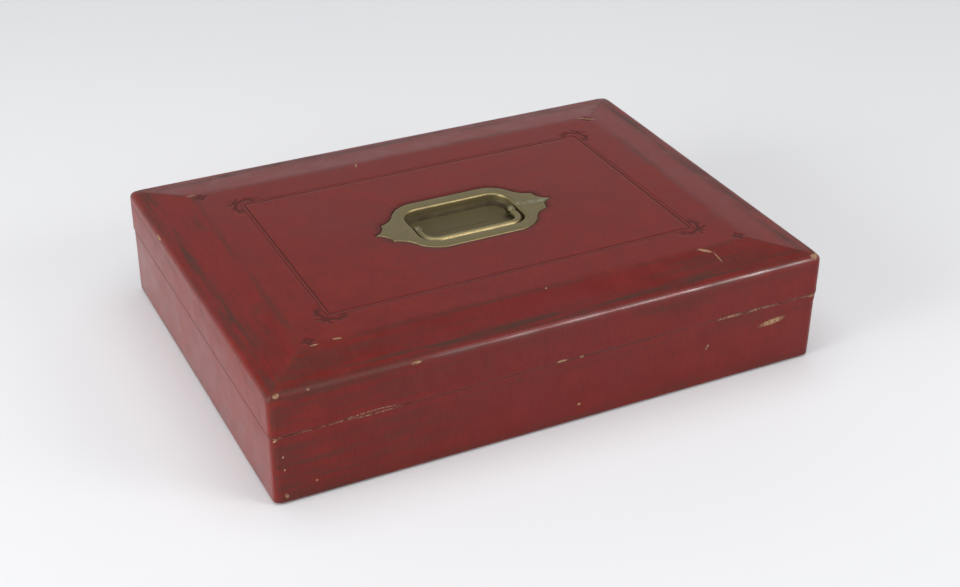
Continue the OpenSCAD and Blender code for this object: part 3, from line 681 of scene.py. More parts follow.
def worn_strip(points):
    distance, patch = crack_lines(points)
    strength = 0.45 + 0.55 * np.clip(waves(points, 16, 6) * 2, -0.6, 1)
    strength = np.where(np.abs(points[:, 0]) > BACK_ENDS, 1, np.clip(strength, 0.15, 1))
    depth = 0.34 * strength * bump_at(distance, 0, 0.16) + patch * (0.1 + 0.12 * waves(points, 1.6, 7))
    out = points.copy()
    out[:, 1] -= depth * (points[:, 1] > LID_Y - 2)
    return out


def mark_strip(obj):
    points = points_of(obj)
    distance, patch = crack_lines(points)
    ends = np.clip((np.abs(points[:, 0]) - BACK_ENDS) / 6, 0, 1)
    beside = bump_at(distance, 0.24, 0.17) * (0.25 + 0.75 * ends)
    beside *= 0.5 + 0.5 * np.clip(2 * waves(points, 13, 8) + 0.6, 0, 1)
    set_attribute(obj, "raw", np.where(np.abs(points[:, 0]) < LID_X - 1, beside, 0.6 * beside))
    set_attribute(obj, "worn", 0.4 * patch)
    set_attribute(obj, "dirt_and_shade", 0.45 * bump_at(distance, 0, 1.2) + 0.5 * patch)
    # painted shade: dark along the joint's crack lines
    set_attribute(obj, "tooled_and_shaded", 0.9 * bump_at(distance, 0, 0.12))
    set_attribute(obj, "edge", np.zeros(len(points)))


def plate_edge_shade(points):
    """Painted shade with some dirt: 1 where the leather meets the brass plate's edge, 0 two millimetres away.
    """
    ahead = np.roll(PLATE_LOOP, -1, 0) - PLATE_LOOP
    dense = np.vstack([PLATE_LOOP + ahead * t for t in (0, 0.25, 0.5, 0.75)])
    near = (np.abs(points[:, 0]) < PATCH_X) & (np.abs(points[:, 1]) < PATCH_Y)
    out = np.zeros(len(points))
    gaps = [np.hypot(dense[:, 0] - x, dense[:, 1] - y).min() for x, y in points[near][:, :2]]
    out[near] = np.exp(-(np.array(gaps) / 1.15) ** 2)
    return out


def mark_shell(obj, half_x, half_y, upper):
    """Where a skin is rubbed, dirty or pressed in by tooling, and where shade is painted on it, for its
    material.
    """
    p = points_of(obj)
    inset_x, inset_y = half_x - np.abs(p[:, 0]), half_y - np.abs(p[:, 1])
    inset = np.minimum(inset_x, inset_y)
    corner = np.exp(-np.hypot(inset_x, inset_y) / 4.5)
    if upper:
        edge_run = np.exp(-(np.hypot(inset, p[:, 2] - EDGE_Z) / 1.9) ** 2)
        top = p[:, 2] > EDGE_Z - 1
        band = bump_at(inset, 7.5, 4.2) * top
        foot = 0.6 * bump_at(inset, MARGIN - 1, 2.2) * top
        around = 0.35 * np.exp(-np.abs(np.hypot(p[:, 0] / 1.9, p[:, 1]) - 29) / 7) * top
        mitre = 0.6 * bump_at(inset_x - inset_y, 0, 2.4) * top * (inset < MARGIN)
        under = 0.4 * bump_at(p[:, 2], EDGE_Z - 7, 3.0) * (inset < 1)
        far = (p[:, 0] < -half_x + 6) | (p[:, 1] < -half_y + 6)
        rounding = bump_at(inset, 1.0, 1.1) * (p[:, 2] > EDGE_Z - 3) * np.where(far, 1.0, 0.8)
        groove = bump_at(inset, 3.6, 0.8) * top
        dirt_and_shade = np.maximum.reduce([band, foot, around, mitre, under, rounding, groove])
        # painted shade: a dark line along the lid's lower edge, where it closes on the base
        closing_line_shade = 0.8 * bump_at(p[:, 2], LID_LOW[2], 0.75) * (inset < 0.6)
        # painted shade: the tooling mark also gets a dark ring where the leather meets the brass plate
        pressed = np.maximum(tooling(p[:, 0], p[:, 1]), plate_edge_shade(p))
        set_attribute(obj, "tooled_and_shaded", np.where(top, pressed, closing_line_shade))
    else:
        edge_run = np.exp(-(np.hypot(inset, p[:, 2] - 1.5) / 1.6) ** 2)
        dirt_and_shade = 0.45 * bump_at(p[:, 2], 3, 4) + 0.3 * bump_at(p[:, 2], JOINT_Z - 4, 5) * (p[:, 1] > half_y - 2)
        # painted shade: a dark line along the base's top edge, where the lid closes on it
        set_attribute(obj, "tooled_and_shaded", 0.8 * bump_at(p[:, 2], BASE_HIGH[2], 0.75) * (inset < 0.6))
    seam = 0.5 * bump_at(np.abs(p[:, 0]), half_x - SEAM_IN, 0.5) * (inset_y < 1)
    set_attribute(obj, "edge", np.maximum(edge_run * (0.55 + 0.45 * corner), 0.9 * corner * (inset < 2)))
    set_attribute(obj, "worn", np.maximum(corner ** 2 * edge_run, seam * 0.6))
    set_attribute(obj, "sideways", inset_x < inset_y)
    handled_edge = upper * 0.62 * edge_run * (1 - corner) * (0.7 + 0.5 * waves(p, 12, 14))
    handled_edge *= 0.12 + 0.88 * np.clip((88 - p[:, 0]) / 60, 0, 1)
    carried = 0.23 * np.clip((60 - p[:, 2]) / 42, 0, 1) * (inset_x < 1) * (inset_y > 2)
    set_attribute(obj, "polish", np.maximum(handled_edge, carried))
    # painted shade: the back slope and back faces get darker towards the +X end, where the light falls off;
    # it is stored with the dirt
    painted_falloff_shade = 0.68 * np.clip((p[:, 0] - 25) / 110, 0, 1) * np.clip((MARGIN + 4 - inset_y) / 8, 0, 1)
    painted_falloff_shade *= (p[:, 1] > 0) * np.clip(0.5 + inset_x - inset_y, 0, 1)
    set_attribute(obj, "dirt_and_shade", np.maximum(dirt_and_shade, painted_falloff_shade))


# ------------------------------------------------------------------ the brass handle
PAN_X, PAN_Y, PAN_R = 33.3, 20.0, 11.0
PAN_FLOOR = 64.0        # top of the pan's floor
PAN_UNDER = 63.0
LIP_R, FOOT_R = 1.1, 2.6        # roundings at the top and the foot of the pan's wall
PIVOT = (30.2, 0.0, 67.9)
BAR_Y, BEND_R, BAR_R = 16.0, 8.5, 2.3


def pan_loop(out):
    """The pan's rounded rectangle, moved out by this much."""
    return rounded_rect(PAN_X + out, PAN_Y + out, max(PAN_R + out, 1.5), 14, 16)


def plate_piece():
    """The cast plate with its sunk pan: thin rounded edge, rolled lip, dished floor."""
    top, under = PLATE_HIGH[2], PLATE_HIGH[2] - 1.5
    inner = grown(PLATE_LOOP, -0.42)
    lip = pan_loop(LIP_R)
    spare = [(x, y) for x in np.arange(-52, 53, 1.7) for y in np.arange(-26, 27, 1.7)
             if inside((x, y), grown(PLATE_LOOP, -1.4)) and not inside((x, y), pan_loop(2.0))]
    face, faces, (at_edge, at_lip) = between(inner, lip, top, 0, spare)
    verts, count = [face], len(face)
    rim = [(grown(PLATE_LOOP, -0.2), top - 0.05), (grown(PLATE_LOOP, -0.05), top - 0.2),
           (PLATE_LOOP, top - 0.42), (PLATE_LOOP, under)]
    _, count = wall_down(verts, faces, at_edge, rim, count)
    steps = np.radians((18, 36, 54, 72, 90))
    roll = [(pan_loop(LIP_R - LIP_R * math.sin(t)), top - LIP_R + LIP_R * math.cos(t)) for t in steps]
    side = [(pan_loop(0), z) for z in (68.4, 67.6, PAN_FLOOR + FOOT_R)]
    turn = [(pan_loop(-FOOT_R + FOOT_R * math.cos(t)), PAN_FLOOR + FOOT_R - FOOT_R * math.sin(t))
            for t in steps]
    floor = [(pan_loop(-g), PAN_FLOOR - 0.18 * math.sin(min(g / 12, 1) * math.pi / 2))
             for g in (3.8, 5.2, 7, 9, 11, 13, 15, 17, 18.6)]
    last, count = wall_down(verts, faces, at_lip, roll + side + turn + floor, count)
    faces.append(tuple(reversed(last)))
    outer = [(pan_loop(1.2), under), (pan_loop(1.2), PAN_FLOOR), (pan_loop(0.4), PAN_UNDER + 0.05),
             (pan_loop(-2), PAN_UNDER)]
    back, back_faces, (_, hole_at) = between(PLATE_LOOP, outer[0][0], under, count)
    verts.append(back)
    count += len(back)
    faces += [tuple(reversed(f)) for f in back_faces]
    last, count = wall_down(verts, faces, hole_at, outer[1:], count)
    faces.append(tuple(reversed(last)))
    obj = new_object("brass_plate", np.vstack(verts), faces, angle=50)
    p = points_of(obj)
    edge_gap = pan_gap(p[:, 0], p[:, 1])
    # painted shade with tarnish: darker deeper in the pan, at the foot of its wall and round the bail's eyes
    low = np.clip((69.8 - p[:, 2]) / 4.5, 0, 1)
    foot = bump_at(np.hypot(edge_gap + 1.6, p[:, 2] - PAN_FLOOR - 0.8), 0, 2.4)
    eye = bump_at(np.hypot(np.abs(p[:, 0]) - 30, p[:, 1]), 0, 8) * (p[:, 2] < 69.5)
    streak = bump_at(p[:, 1] + 0.12 * (p[:, 0] + 43), 0, 1.3) * (p[:, 0] < -PAN_X - 1) * (p[:, 2] > 69.9)
    floor = (p[:, 2] < PAN_FLOOR + 1.5) * (edge_gap < -3)
    set_attribute(obj, "hollow", np.maximum.reduce([0.95 * low - 0.3 * floor, 1.3 * foot, eye]))
    set_attribute(obj, "verdigris", 0.9 * streak)
    return obj


def pan_gap(x, y):
    """How far outside the pan's wall a point is."""
    qx, qy = np.abs(x) - PAN_X + PAN_R, np.abs(y) - PAN_Y + PAN_R
    return np.hypot(np.maximum(qx, 0), np.maximum(qy, 0)) + np.minimum(np.maximum(qx, qy), 0) - PAN_R


def tube(path, radii, around=20):
    """Points and faces of a closed tube along a path of (x, y, z)."""
    path = np.asarray(path, float)
    ahead = np.gradient(path, axis=0)
    ahead /= np.linalg.norm(ahead, axis=1)[:, None]
    side = np.cross(ahead, (0, 0, 1.0))
    side /= np.linalg.norm(side, axis=1)[:, None]
    up = np.cross(side, ahead)
    turn = np.linspace(0, 2 * math.pi, around, endpoint=False)
    verts = [p + r * (np.outer(np.cos(turn), n) + np.outer(np.sin(turn), u))
             for p, r, n, u in zip(path, radii, side, up)]
    return np.vstack(verts), capped(len(path), around)


def bail_piece():
    """The drop handle: a round bar, two bent limbs and an eye at the end of each."""
    x, y, z = PIVOT
    limb = [(x, t, z) for t in np.linspace(0.6, BAR_Y - BEND_R, 7)[:-1]]
    bend = [(x - BEND_R + BEND_R * math.cos(t), BAR_Y - BEND_R + BEND_R * math.sin(t), z)
            for t in np.radians(np.linspace(0, 90, 13))]
    bar = [(t, BAR_Y, z) for t in np.linspace(x - BEND_R, 0, 9)[1:]]
    half = limb + bend + bar
    path = half + [(-a, b, c) for a, b, c in half[-2::-1]]
    along = np.array([min(i, len(path) - 1 - i) for i in range(len(path))])
    radii = np.minimum(1.85 + 0.03 * along, BAR_R)
    verts, faces = tube(path, radii)
    profile = [(-1.7, 2.05), (-1.5, 2.4), (-1.1, 2.58), (0, 2.6), (1.1, 2.58), (1.5, 2.4), (1.7, 2.05)]
    around = 28
    turn = np.linspace(0, 2 * math.pi, around, endpoint=False)
    for side in (-1, 1):
        rows = [np.column_stack([np.full(around, side * x + dx), y + r * np.cos(turn), z + r * np.sin(turn)])
                for dx, r in profile]
        faces += capped(len(profile), around, len(verts))
        verts = np.vstack([verts, *rows])
    obj = new_object("brass_bail", verts, faces)
    melt = obj.modifiers.new("cast", "REMESH")
    melt.mode, melt.voxel_size = "VOXEL", 0.34 * MM
    ease = obj.modifiers.new("ease", "SMOOTH")
    ease.factor, ease.iterations = 0.5, 5
    apply_modifiers(obj)
    soften(obj, 60)
    p = points_of(obj)
    # painted shade with tarnish round the eyes, and painted shade on the underside of the bar
    eye = bump_at(np.hypot(np.abs(p[:, 0]) - x, p[:, 1]), 0, 3.4)
    below = np.clip((z - 0.6 - p[:, 2]) / 1.6, 0, 1)
    set_attribute(obj, "hollow", np.maximum(0.65 * eye, 0.8 * below))
    set_attribute(obj, "verdigris", 0.3 * eye)
    return obj


# ------------------------------------------------------------------ padded pieces
PIT_X, PIT_Y = 31.0, 42.0       # half the steps between the silk panel's buttons
PUFFED = []                     # (piece, how far a point may move) for the one simulation
SWELL_FRAMES = 20


def stuff(obj, held, cap, pressure=4.0, ease=-0.012):
    """Lets a piece swell like stuffed cloth; held points stay, the rest move no more than cap."""
    group = obj.vertex_groups.new(name="held")
    group.add(np.nonzero(held)[0].tolist(), 1.0, "REPLACE")
    cloth = obj.modifiers.new("stuffing", "CLOTH")
    settings = cloth.settings
    settings.vertex_group_mass = "held"
    settings.use_pressure = True
    settings.uniform_pressure_force = pressure
    settings.effector_weights.gravity = 0
    settings.mass = 0.06
    settings.quality = 5
    settings.shrink_min = ease
    settings.bending_stiffness = 0.2
    cloth.collision_settings.use_collision = False
    cloth.point_cache.frame_start, cloth.point_cache.frame_end = 1, SWELL_FRAMES
    PUFFED.append((obj, cap))


def swell():
    """Runs the simulation once for every stuffed piece and keeps its result."""
    if not PUFFED:
        return
    before = {obj.name: points_of(obj) for obj, _ in PUFFED}
    for number in range(1, SWELL_FRAMES + 1):
        scene.frame_set(number)
    for obj, cap in PUFFED:
        apply_modifiers(obj)
        start, end = before[obj.name], points_of(obj)
        move = end - start
        far = np.linalg.norm(move, axis=1)
        move *= (cap * np.tanh(far / cap) / np.maximum(far, 1e-9))[:, None]
        move_points(obj, start + move)
        obj.vertex_groups.clear()
    scene.frame_set(1)


def smoother(obj, angle=60):
    fine = obj.modifiers.new("fine", "SUBSURF")
    fine.levels = fine.render_levels = 1
    apply_modifiers(obj)
    soften(obj, angle)


def pad_grid(low, high, cell, thick_at, pull):
    """A closed pad: a crowned top over a flat seat, its sides drawn in between its corners."""
    size = high - low
    nx, ny = max(int(size[0] / cell), 4), max(int(size[1] / cell), 4)
    u, v = np.meshgrid(np.linspace(-1, 1, nx + 1), np.linspace(-1, 1, ny + 1), indexing="ij")
    half_x = size[0] / 2 - pull * (1 - v ** 4)
    half_y = size[1] / 2 - pull * (1 - u ** 4)
    x = (low[0] + high[0]) / 2 + u * half_x
    y = (low[1] + high[1]) / 2 + v * half_y
    inset = np.minimum((1 - np.abs(u)) * half_x, (1 - np.abs(v)) * half_y)
    top = thick_at(x, y, inset)
    n = x.size
    upper = np.column_stack([x.ravel(), y.ravel(), top.ravel()])
    seat = np.column_stack([x.ravel(), y.ravel(), np.zeros(n)])
    faces = []
    for start, flip in ((0, False), (n, True)):
        for i in range(nx):
            for j in range(ny):
                a = start + i * (ny + 1) + j
                f = (a, a + ny + 1, a + ny + 2, a + 1)
                faces.append(f[::-1] if flip else f)
    rim = [i * (ny + 1) + j for i, j in loop_of(range(nx + 1), range(ny + 1))]
    faces += bridge(rim, [n + k for k in rim], len(rim))
    return np.vstack([upper, seat]), faces, inset.ravel(), n


def floor_cushion(node, cell, cap, seed):
    """A thin velvet pad on the floor of a compartment."""
    low, high = box_mm(node)
    thick = high[2] - low[2]

    def height(x, y, inset):
        edge = np.sqrt(1 - (1 - np.clip((inset + 0.5) / 3.2, 0, 1)) ** 2)
        return thick * (0.45 + 0.43 * edge)

    verts, faces, inset, n = pad_grid(low, high, cell, height, 0.35)
    verts[:n, 2] += 0.25 * waves(verts[:n], 21, seed) * (inset > 2)
    verts[:, 2] += low[2]
    obj = new_object(node + "_velvet", verts, faces, smooth=False)
    p = points_of(obj)
    held = (p[:, 2] < low[2] + 0.05) | (np.abs(p[:, 0] - low[0]) < 1) | (np.abs(p[:, 0] - high[0]) < 1)
    held |= (np.abs(p[:, 1] - low[1]) < 1) | (np.abs(p[:, 1] - high[1]) < 1)
    stuff(obj, held, cap, pressure=3)
    return obj


def ring_roll(node, seed):
    """One stuffed roll of the ring bay: round on top, flat where it is glued down."""
    low, high = box_mm(node)
    middle, base = (low[1] + high[1]) / 2, low[2]
    radius = (high[1] - low[1]) / 2
    centre_z = high[2] - radius
    around, rows = 24, 40
    verts = []
    for x in np.linspace(low[0] + 0.3, high[0] - 0.3, rows):
        from_end = min(x - low[0], high[0] - x)
        scale = 0.97 - 0.13 * (1 - min(from_end / 4.5, 1)) ** 2
        swell_here = 1 + 0.012 * noise.noise(Vector((x / 23, seed * 1.7, 0.4)))
        turn = np.linspace(-math.pi, math.pi, around, endpoint=False)
        r = radius * scale * swell_here
        y = middle + r * np.sin(turn)
        z = np.maximum(centre_z + r * np.cos(turn) - (1 - scale) * 2.5, base + 0.02)
        verts.append(np.column_stack([np.full(around, x), y, z]))
    obj = new_object(node + "_velvet", np.vstack(verts), capped(rows, around), smooth=False)
    p = points_of(obj)
    held = (p[:, 2] < base + 0.6) | (p[:, 0] < low[0] + 0.6) | (p[:, 0] > high[0] - 0.6)
    stuff(obj, held, 0.28, pressure=5, ease=-0.02)
    return obj


def pits():
    """Where the silk panel's buttons sit."""
    out = []
    for i in range(-4, 5):
        for j in range(-2, 3):
            if (i + j) % 2 == 0:
                out.append((i * PIT_X, j * PIT_Y))
    return out


def silk_panel():
    """The lid's padded silk, held down by covered buttons with soft pleats running between them."""
    low, high = box_mm("lid_pad")

    def height(x, y, inset):
        a, b = x / PIT_X + y / PIT_Y, x / PIT_X - y / PIT_Y
        crease_a, crease_b = np.abs(np.sin(a * math.pi / 2)), np.abs(np.sin(b * math.pi / 2))
        pillow = (crease_a * crease_b) ** 0.4
        inner = 1 / (1 + np.exp(-(inset - 13) / 3))
        edge = np.sqrt(1 - (1 - np.clip(inset / 6, 0, 1)) ** 2)
        pit = np.zeros_like(x)
        for px, py in pits():
            pit = np.maximum(pit, np.exp(-((x - px) ** 2 + (y - py) ** 2) / 30))
        return 1.0 + edge * (2.9 + inner * (1.6 * pillow - 0.6)) - 1.6 * pit * inner

    verts, faces, _, _ = pad_grid(low, high, 4.2, height, 0.8)
    verts[:, 2] = high[2] - 0.05 - verts[:, 2]
    obj = new_object("lid_silk", verts, faces, smooth=False)
    p = points_of(obj)
    held = p[:, 2] > high[2] - 0.2
    held |= (np.abs(p[:, 0]) > high[0] - 1.6) | (np.abs(p[:, 1]) > high[1] - 1.6)
    for x, y in pits():
        held |= np.hypot(p[:, 0] - x, p[:, 1] - y) < 3.2
    stuff(obj, held, 1.9, pressure=5, ease=-0.02)
    return obj


def silk_buttons():
    """Small covered buttons, domed, with a tucked rim."""
    high = box_mm("lid_pad")[1]
    seat = high[2] - 2.4
    profile = [(0.6, 1.5), (1.7, 1.42), (2.7, 1.2), (3.5, 0.85), (4.0, 0.4), (4.05, 0.0), (3.6, -0.4)]
    around = 24
    turn = np.linspace(0, 2 * math.pi, around, endpoint=False)
    verts, faces = [], []
    for x, y in pits():
        if abs(x) > high[0] - 9 or abs(y) > high[1] - 9:
            continue
        faces += capped(len(profile), around, around * len(verts))
        verts += [np.column_stack([x + r * np.cos(turn), y + r * np.sin(turn), np.full(around, seat - h)])
                  for r, h in profile]
    return new_object("lid_buttons", np.vstack(verts), faces, angle=70)


def ribbon_tab(node):
    """A folded loop of ribbon for lifting the tray. Gives the piece and its flat size in metres."""
    low, high = box_mm(node)
    middle = (low[0] + high[0]) / 2
    half = 0.42
    up = [(middle - half - 0.1 * math.sin(t / 12 * math.pi), low[2] + 0.2 + t)
          for t in np.linspace(0, 12.4, 12)]
    over = [(middle - (half + 0.05) * math.cos(t), low[2] + 12.6 + 0.9 * math.sin(t))
            for t in np.radians(np.linspace(12, 168, 9))]
    down = [(2 * middle - x, z) for x, z in up[::-1]]
    path = np.array(up + over + down)
    length = np.linalg.norm(np.diff(path, axis=0), axis=1).sum()
    across = np.linspace(low[1], high[1], 13)
    verts = []
    for i, (x, z) in enumerate(path):
        share = i / (len(path) - 1)
        bow = 0.12 * math.sin(share * math.pi)
        for y in across:
            s = y / high[1]
            verts.append((x + bow * 0.4 * s * s, y * (1 - 0.02 * math.sin(share * math.pi)), z - bow * s * s))
    obj = new_object(node + "_ribbon", verts, quads(len(path), len(across), closed=False), smooth=False)
    thicken(obj, 0.22, 0)
    tidy(obj)
    soften(obj, 60)
    return obj, (2 * high[1] * MM, length * MM)


def lining(node, top_rolled):
    """Velvet over card, glued round the inside of the walls, with a soft rolled edge at the opening."""
    low, high = box_mm(node)
    thick = 0.8
    edge = high[2] if top_rolled else low[2]
    root = low[2] if top_rolled else high[2]
    into = 1 if top_rolled else -1
    heights = np.linspace(root, edge - into * 1.0, 14)
    profile = [(0.0, z) for z in heights]
    profile += [(thick / 2 - thick / 2 * math.cos(t), edge - into * (1.0 - 1.0 * math.sin(t)))
                for t in np.radians((25, 50, 75, 105, 130, 155))]
    profile += [(thick, z) for z in heights[::-1]]
    verts = []
    for out, z in profile:
        loop = rounded_rect(high[0] - thick + out, high[1] - thick + out, 1.2 + out, 6, 56)
        verts.append(np.column_stack([loop, np.full(len(loop), z)]))
    points = np.vstack(verts)
    n = len(verts[0])
    wave = 0.13 * waves(points, 26, 21) + 0.05 * waves(points, 7, 22)
    inner = np.repeat([p[0] < thick * 0.75 for p in profile], n)
    flat = np.abs(points[:, 0]) > high[0] - 2
    points[:, 0] -= np.where(inner & flat, (wave + 0.12) * np.sign(points[:, 0]), 0)
    points[:, 1] -= np.where(inner & ~flat, (wave + 0.12) * np.sign(points[:, 1]), 0)
    faces = quads(len(profile), n)
    last = (len(profile) - 1) * n
    faces += bridge(range(last, last + n), range(n), n)
    return new_object(node + "_velvet", points, faces, angle=60)


def covered(name, names, radius=0.7):
    """CAD walls under their velvet: the same solids with every edge eased."""
    meshes = bmesh.new()
    for node in names:
        meshes.from_mesh(nodes[node].data)
    mesh = bpy.data.meshes.new(name)
    meshes.to_mesh(mesh)
    meshes.free()
    mesh.materials.clear()
    obj = linked(name, mesh)
    tidy(obj)
    ease = obj.modifiers.new("ease", "BEVEL")
    ease.width, ease.segments, ease.limit_method = radius * MM, 3, "ANGLE"
    ease.angle_limit = math.radians(40)
    ease.use_clamp_overlap = True
    apply_modifiers(obj)
    soften(obj, 50)
    return obj


# ------------------------------------------------------------------ materials
class Finish:
    """A node material, written one node a line."""

    def __init__(self, name):
        self.material = bpy.data.materials.new(name)
        self.material.use_nodes = True
        self.tree = self.material.node_tree
        self.shader = self.tree.nodes["Principled BSDF"]
        self.place = self.add("TexCoord").outputs["Object"]

    def add(self, kind, inputs=(), **settings):
        node = self.tree.nodes.new("ShaderNode" + kind)
        for key, value in settings.items():
            setattr(node, key, value)
        for key, value in dict(inputs).items():
            self.feed(node.inputs[key], value)
        return node

    def feed(self, socket, value):
        if isinstance(value, bpy.types.NodeSocket):
            self.tree.links.new(value, socket)
        elif socket.type == "RGBA":
            socket.default_value = (*value, 1)[:4]
        else:
            socket.default_value = value

    def set(self, **values):
        """Sets the shader's own sockets: underscores stand for spaces."""
        for key, value in values.items():
            self.feed(self.shader.inputs[key.replace("_", " ")], value)

    def math(self, operation, a, b):
        return self.add("Math", {0: a, 1: b}, operation=operation).outputs[0]

    def times(self, a, b):
        return self.math("MULTIPLY", a, b)

    def plus(self, a, b):
        return self.math("ADD", a, b)

    def minus(self, a, b):
        return self.math("SUBTRACT", a, b)

    def most(self, a, b):
        return self.math("MAXIMUM", a, b)

    def least(self, a, b):
        return self.math("MINIMUM", a, b)

    def scaled(self, vector, scale):
        return self.add("VectorMath", {0: vector, 1: scale}, operation="MULTIPLY").outputs[0]

    def moved(self, vector, by):
        return self.add("VectorMath", {0: vector, 1: by}, operation="ADD").outputs[0]

    def sized(self, size):
        """The place on the piece, in steps of size millimetres: one number, or one for each axis."""
        sizes = size if hasattr(size, "__len__") else (size,) * 3
        return self.scaled(self.place, tuple(1 / (s * MM) for s in sizes))

    def noise(self, size, detail=3.0, rough=0.55, twist=0.0):
        """Noise about size millimetres from crest to crest."""
        inputs = {"Vector": self.sized(size), "Scale": 1.0, "Detail": detail, "Roughness": rough,
                  "Distortion": twist}
        return self.add("TexNoise", inputs).outputs["Fac"]

    def pebbles(self, size):
        inputs = {"Vector": self.sized(size), "Scale": 1.0}
        return self.add("TexVoronoi", inputs, feature="SMOOTH_F1").outputs["Distance"]

    def step(self, value, low, high, out_low=0.0, out_high=1.0):
        """A smooth step as value goes from low to high."""
        inputs = {0: value, 1: low, 2: high, 3: out_low, 4: out_high}
        return self.add("MapRange", inputs, interpolation_type="SMOOTHSTEP").outputs[0]

    def mix(self, share, a, b):
        return self.add("Mix", {0: share, 6: a, 7: b}, data_type="RGBA").outputs[2]

    def attribute(self, name):
        return self.add("Attribute", attribute_name=name).outputs["Fac"]

    def bump(self, height, strength, distance, under=None):
        inputs = {"Height": height, "Strength": strength, "Distance": distance * MM}
        if under is not None:
            inputs["Normal"] = under
        return self.add("Bump", inputs).outputs[0]

    def paint(self, *things):
        for thing in things:
            thing.data.materials.clear()
            thing.data.materials.append(self.material)


# (middle, half sizes, axis of turn, turn in degrees) of each mark: bare tan, then old stains
RUBBED = (
    ((160.2, 120.6, 66.2), (1.9, 1.3, 1.3), "Z", 20), ((143.7, 122, 66.0), (1.0, 1.2, 0.8), "Z", 0),
    ((162.2, 121.6, 40.4), (1.5, 1.6, 0.7), "Y", 40), ((158.7, 121.5, 29.7), (0.5, 1.2, 0.9), "Y", 0),
    ((158.2, 121.5, 21.5), (0.5, 1.2, 0.8), "Y", 0), ((157.8, 121.5, 5.2), (0.9, 2.0, 1.6), "Y", 20),
    ((141.5, 121.5, 9.8), (0.7, 1.0, 0.7), "Y", 0), ((116, 91, 70.4), (2.4, 0.8, 1.0), "Z", -12),
    ((128.8, 91.8, 70.3), (2.2, 0.6, 1.0), "Z", 5), ((85.3, 121.8, 65.2), (2.9, 1.3, 0.7), "Z", 0),
    ((-10.5, 121.5, 11.2), (1.0, 1.0, 0.8), "Y", 0), ((-134.5, 121.5, 30.9), (8.2, 1.5, 1.75), "Y", 6),
    ((-91.6, 121.5, 25.6), (0.8, 1.0, 1.8), "Y", -25), ((-104, 93.6, 70.1), (4.2, 1.25, 1.5), "Z", 138),
    ((-107.6, 101.5, 69.1), (6.0, 0.4, 1.5), "Z", 88), ((-160.4, 119.6, 66.4), (3.2, 2.0, 1.4), "Z", 40),
    ((31.5, -88, 70.4), (2.4, 0.6, 1.0), "Z", 60), ((-4, 92.2, 70.3), (0.9, 0.5, 1.0), "Z", 30),
    ((1.5, 122, 42.6), (3.4, 1.5, 0.8), "Y", 0), ((-10.7, 122, 42.1), (1.4, 1.5, 0.7), "Y", 0),
    ((135, -92.6, 70.4), (2.6, 0.8, 1.0), "Z", 10), ((-130.6, -88.2, 70.3), (6.4, 0.8, 1.5), "Z", 145),
    ((-160.5, 121, 41.2), (2.6, 1.2, 0.6), "Y", 0), ((164.6, -60, 65.2), (1.0, 3.5, 0.7), "X", 0),
    ((-70, -121.8, 65.0), (4.5, 1.2, 0.8), "Y", 0), ((60, -121.6, 30), (1.2, 1.0, 2.2), "Y", 30))
STAINS = (
    ((26.8, 121.5, 36.6), (1.9, 2.0, 3.6), "Y", 0), ((96, -24, 70.5), (3.4, 2.6, 1.0), "Z", 20),
    ((58, 36, 70.5), (2.4, 3.4, 1.0), "Z", 50), ((141, -57, 69.4), (7.0, 9.0, 2.0), "Z", 10),
    ((142.5, 46, 69.4), (5.0, 7.0, 2.0), "Z", 0), ((60, 104, 68.7), (26.0, 6.0, 2.0), "Z", -3),
    ((-100, 104, 68.7), (36.0, 9.0, 2.5), "Z", 2), ((-70, 121.6, 58), (30.0, 2.0, 4.0), "Y", -2),
    ((-112, 121.6, 38), (12.0, 2.0, 4.5), "Y", 0), ((150, 118, 56), (9.0, 6.0, 5.0), "Z", 0),
    ((154, 118, 22), (6.0, 6.0, 16.0), "Z", 0), ((150, 60, 68), (6.0, 34.0, 2.0), "Z", 0),
    ((44, 121.6, 55), (5.0, 2.0, 3.0), "Y", 0))


def patches(f, marks, ragged, softness):
    """1 inside any of the marks, with a ragged outline."""
    total = None
    for centre, half, axis, turn in marks:
        at = f.moved(f.place, tuple(-c * MM for c in centre))
        if turn:
            at = f.add("VectorRotate", {"Vector": at, "Angle": math.radians(-turn)},
                       rotation_type=axis + "_AXIS").outputs[0]
        at = f.scaled(at, tuple(1 / (h * MM) for h in half))
        length = f.add("VectorMath", {0: at}, operation="LENGTH").outputs["Value"]
        total = length if total is None else f.least(total, length)
    rough = f.plus(total, f.times(f.minus(ragged, 0.5), 2.1))
    return f.step(rough, 1.0 + softness, 1.0 - softness)


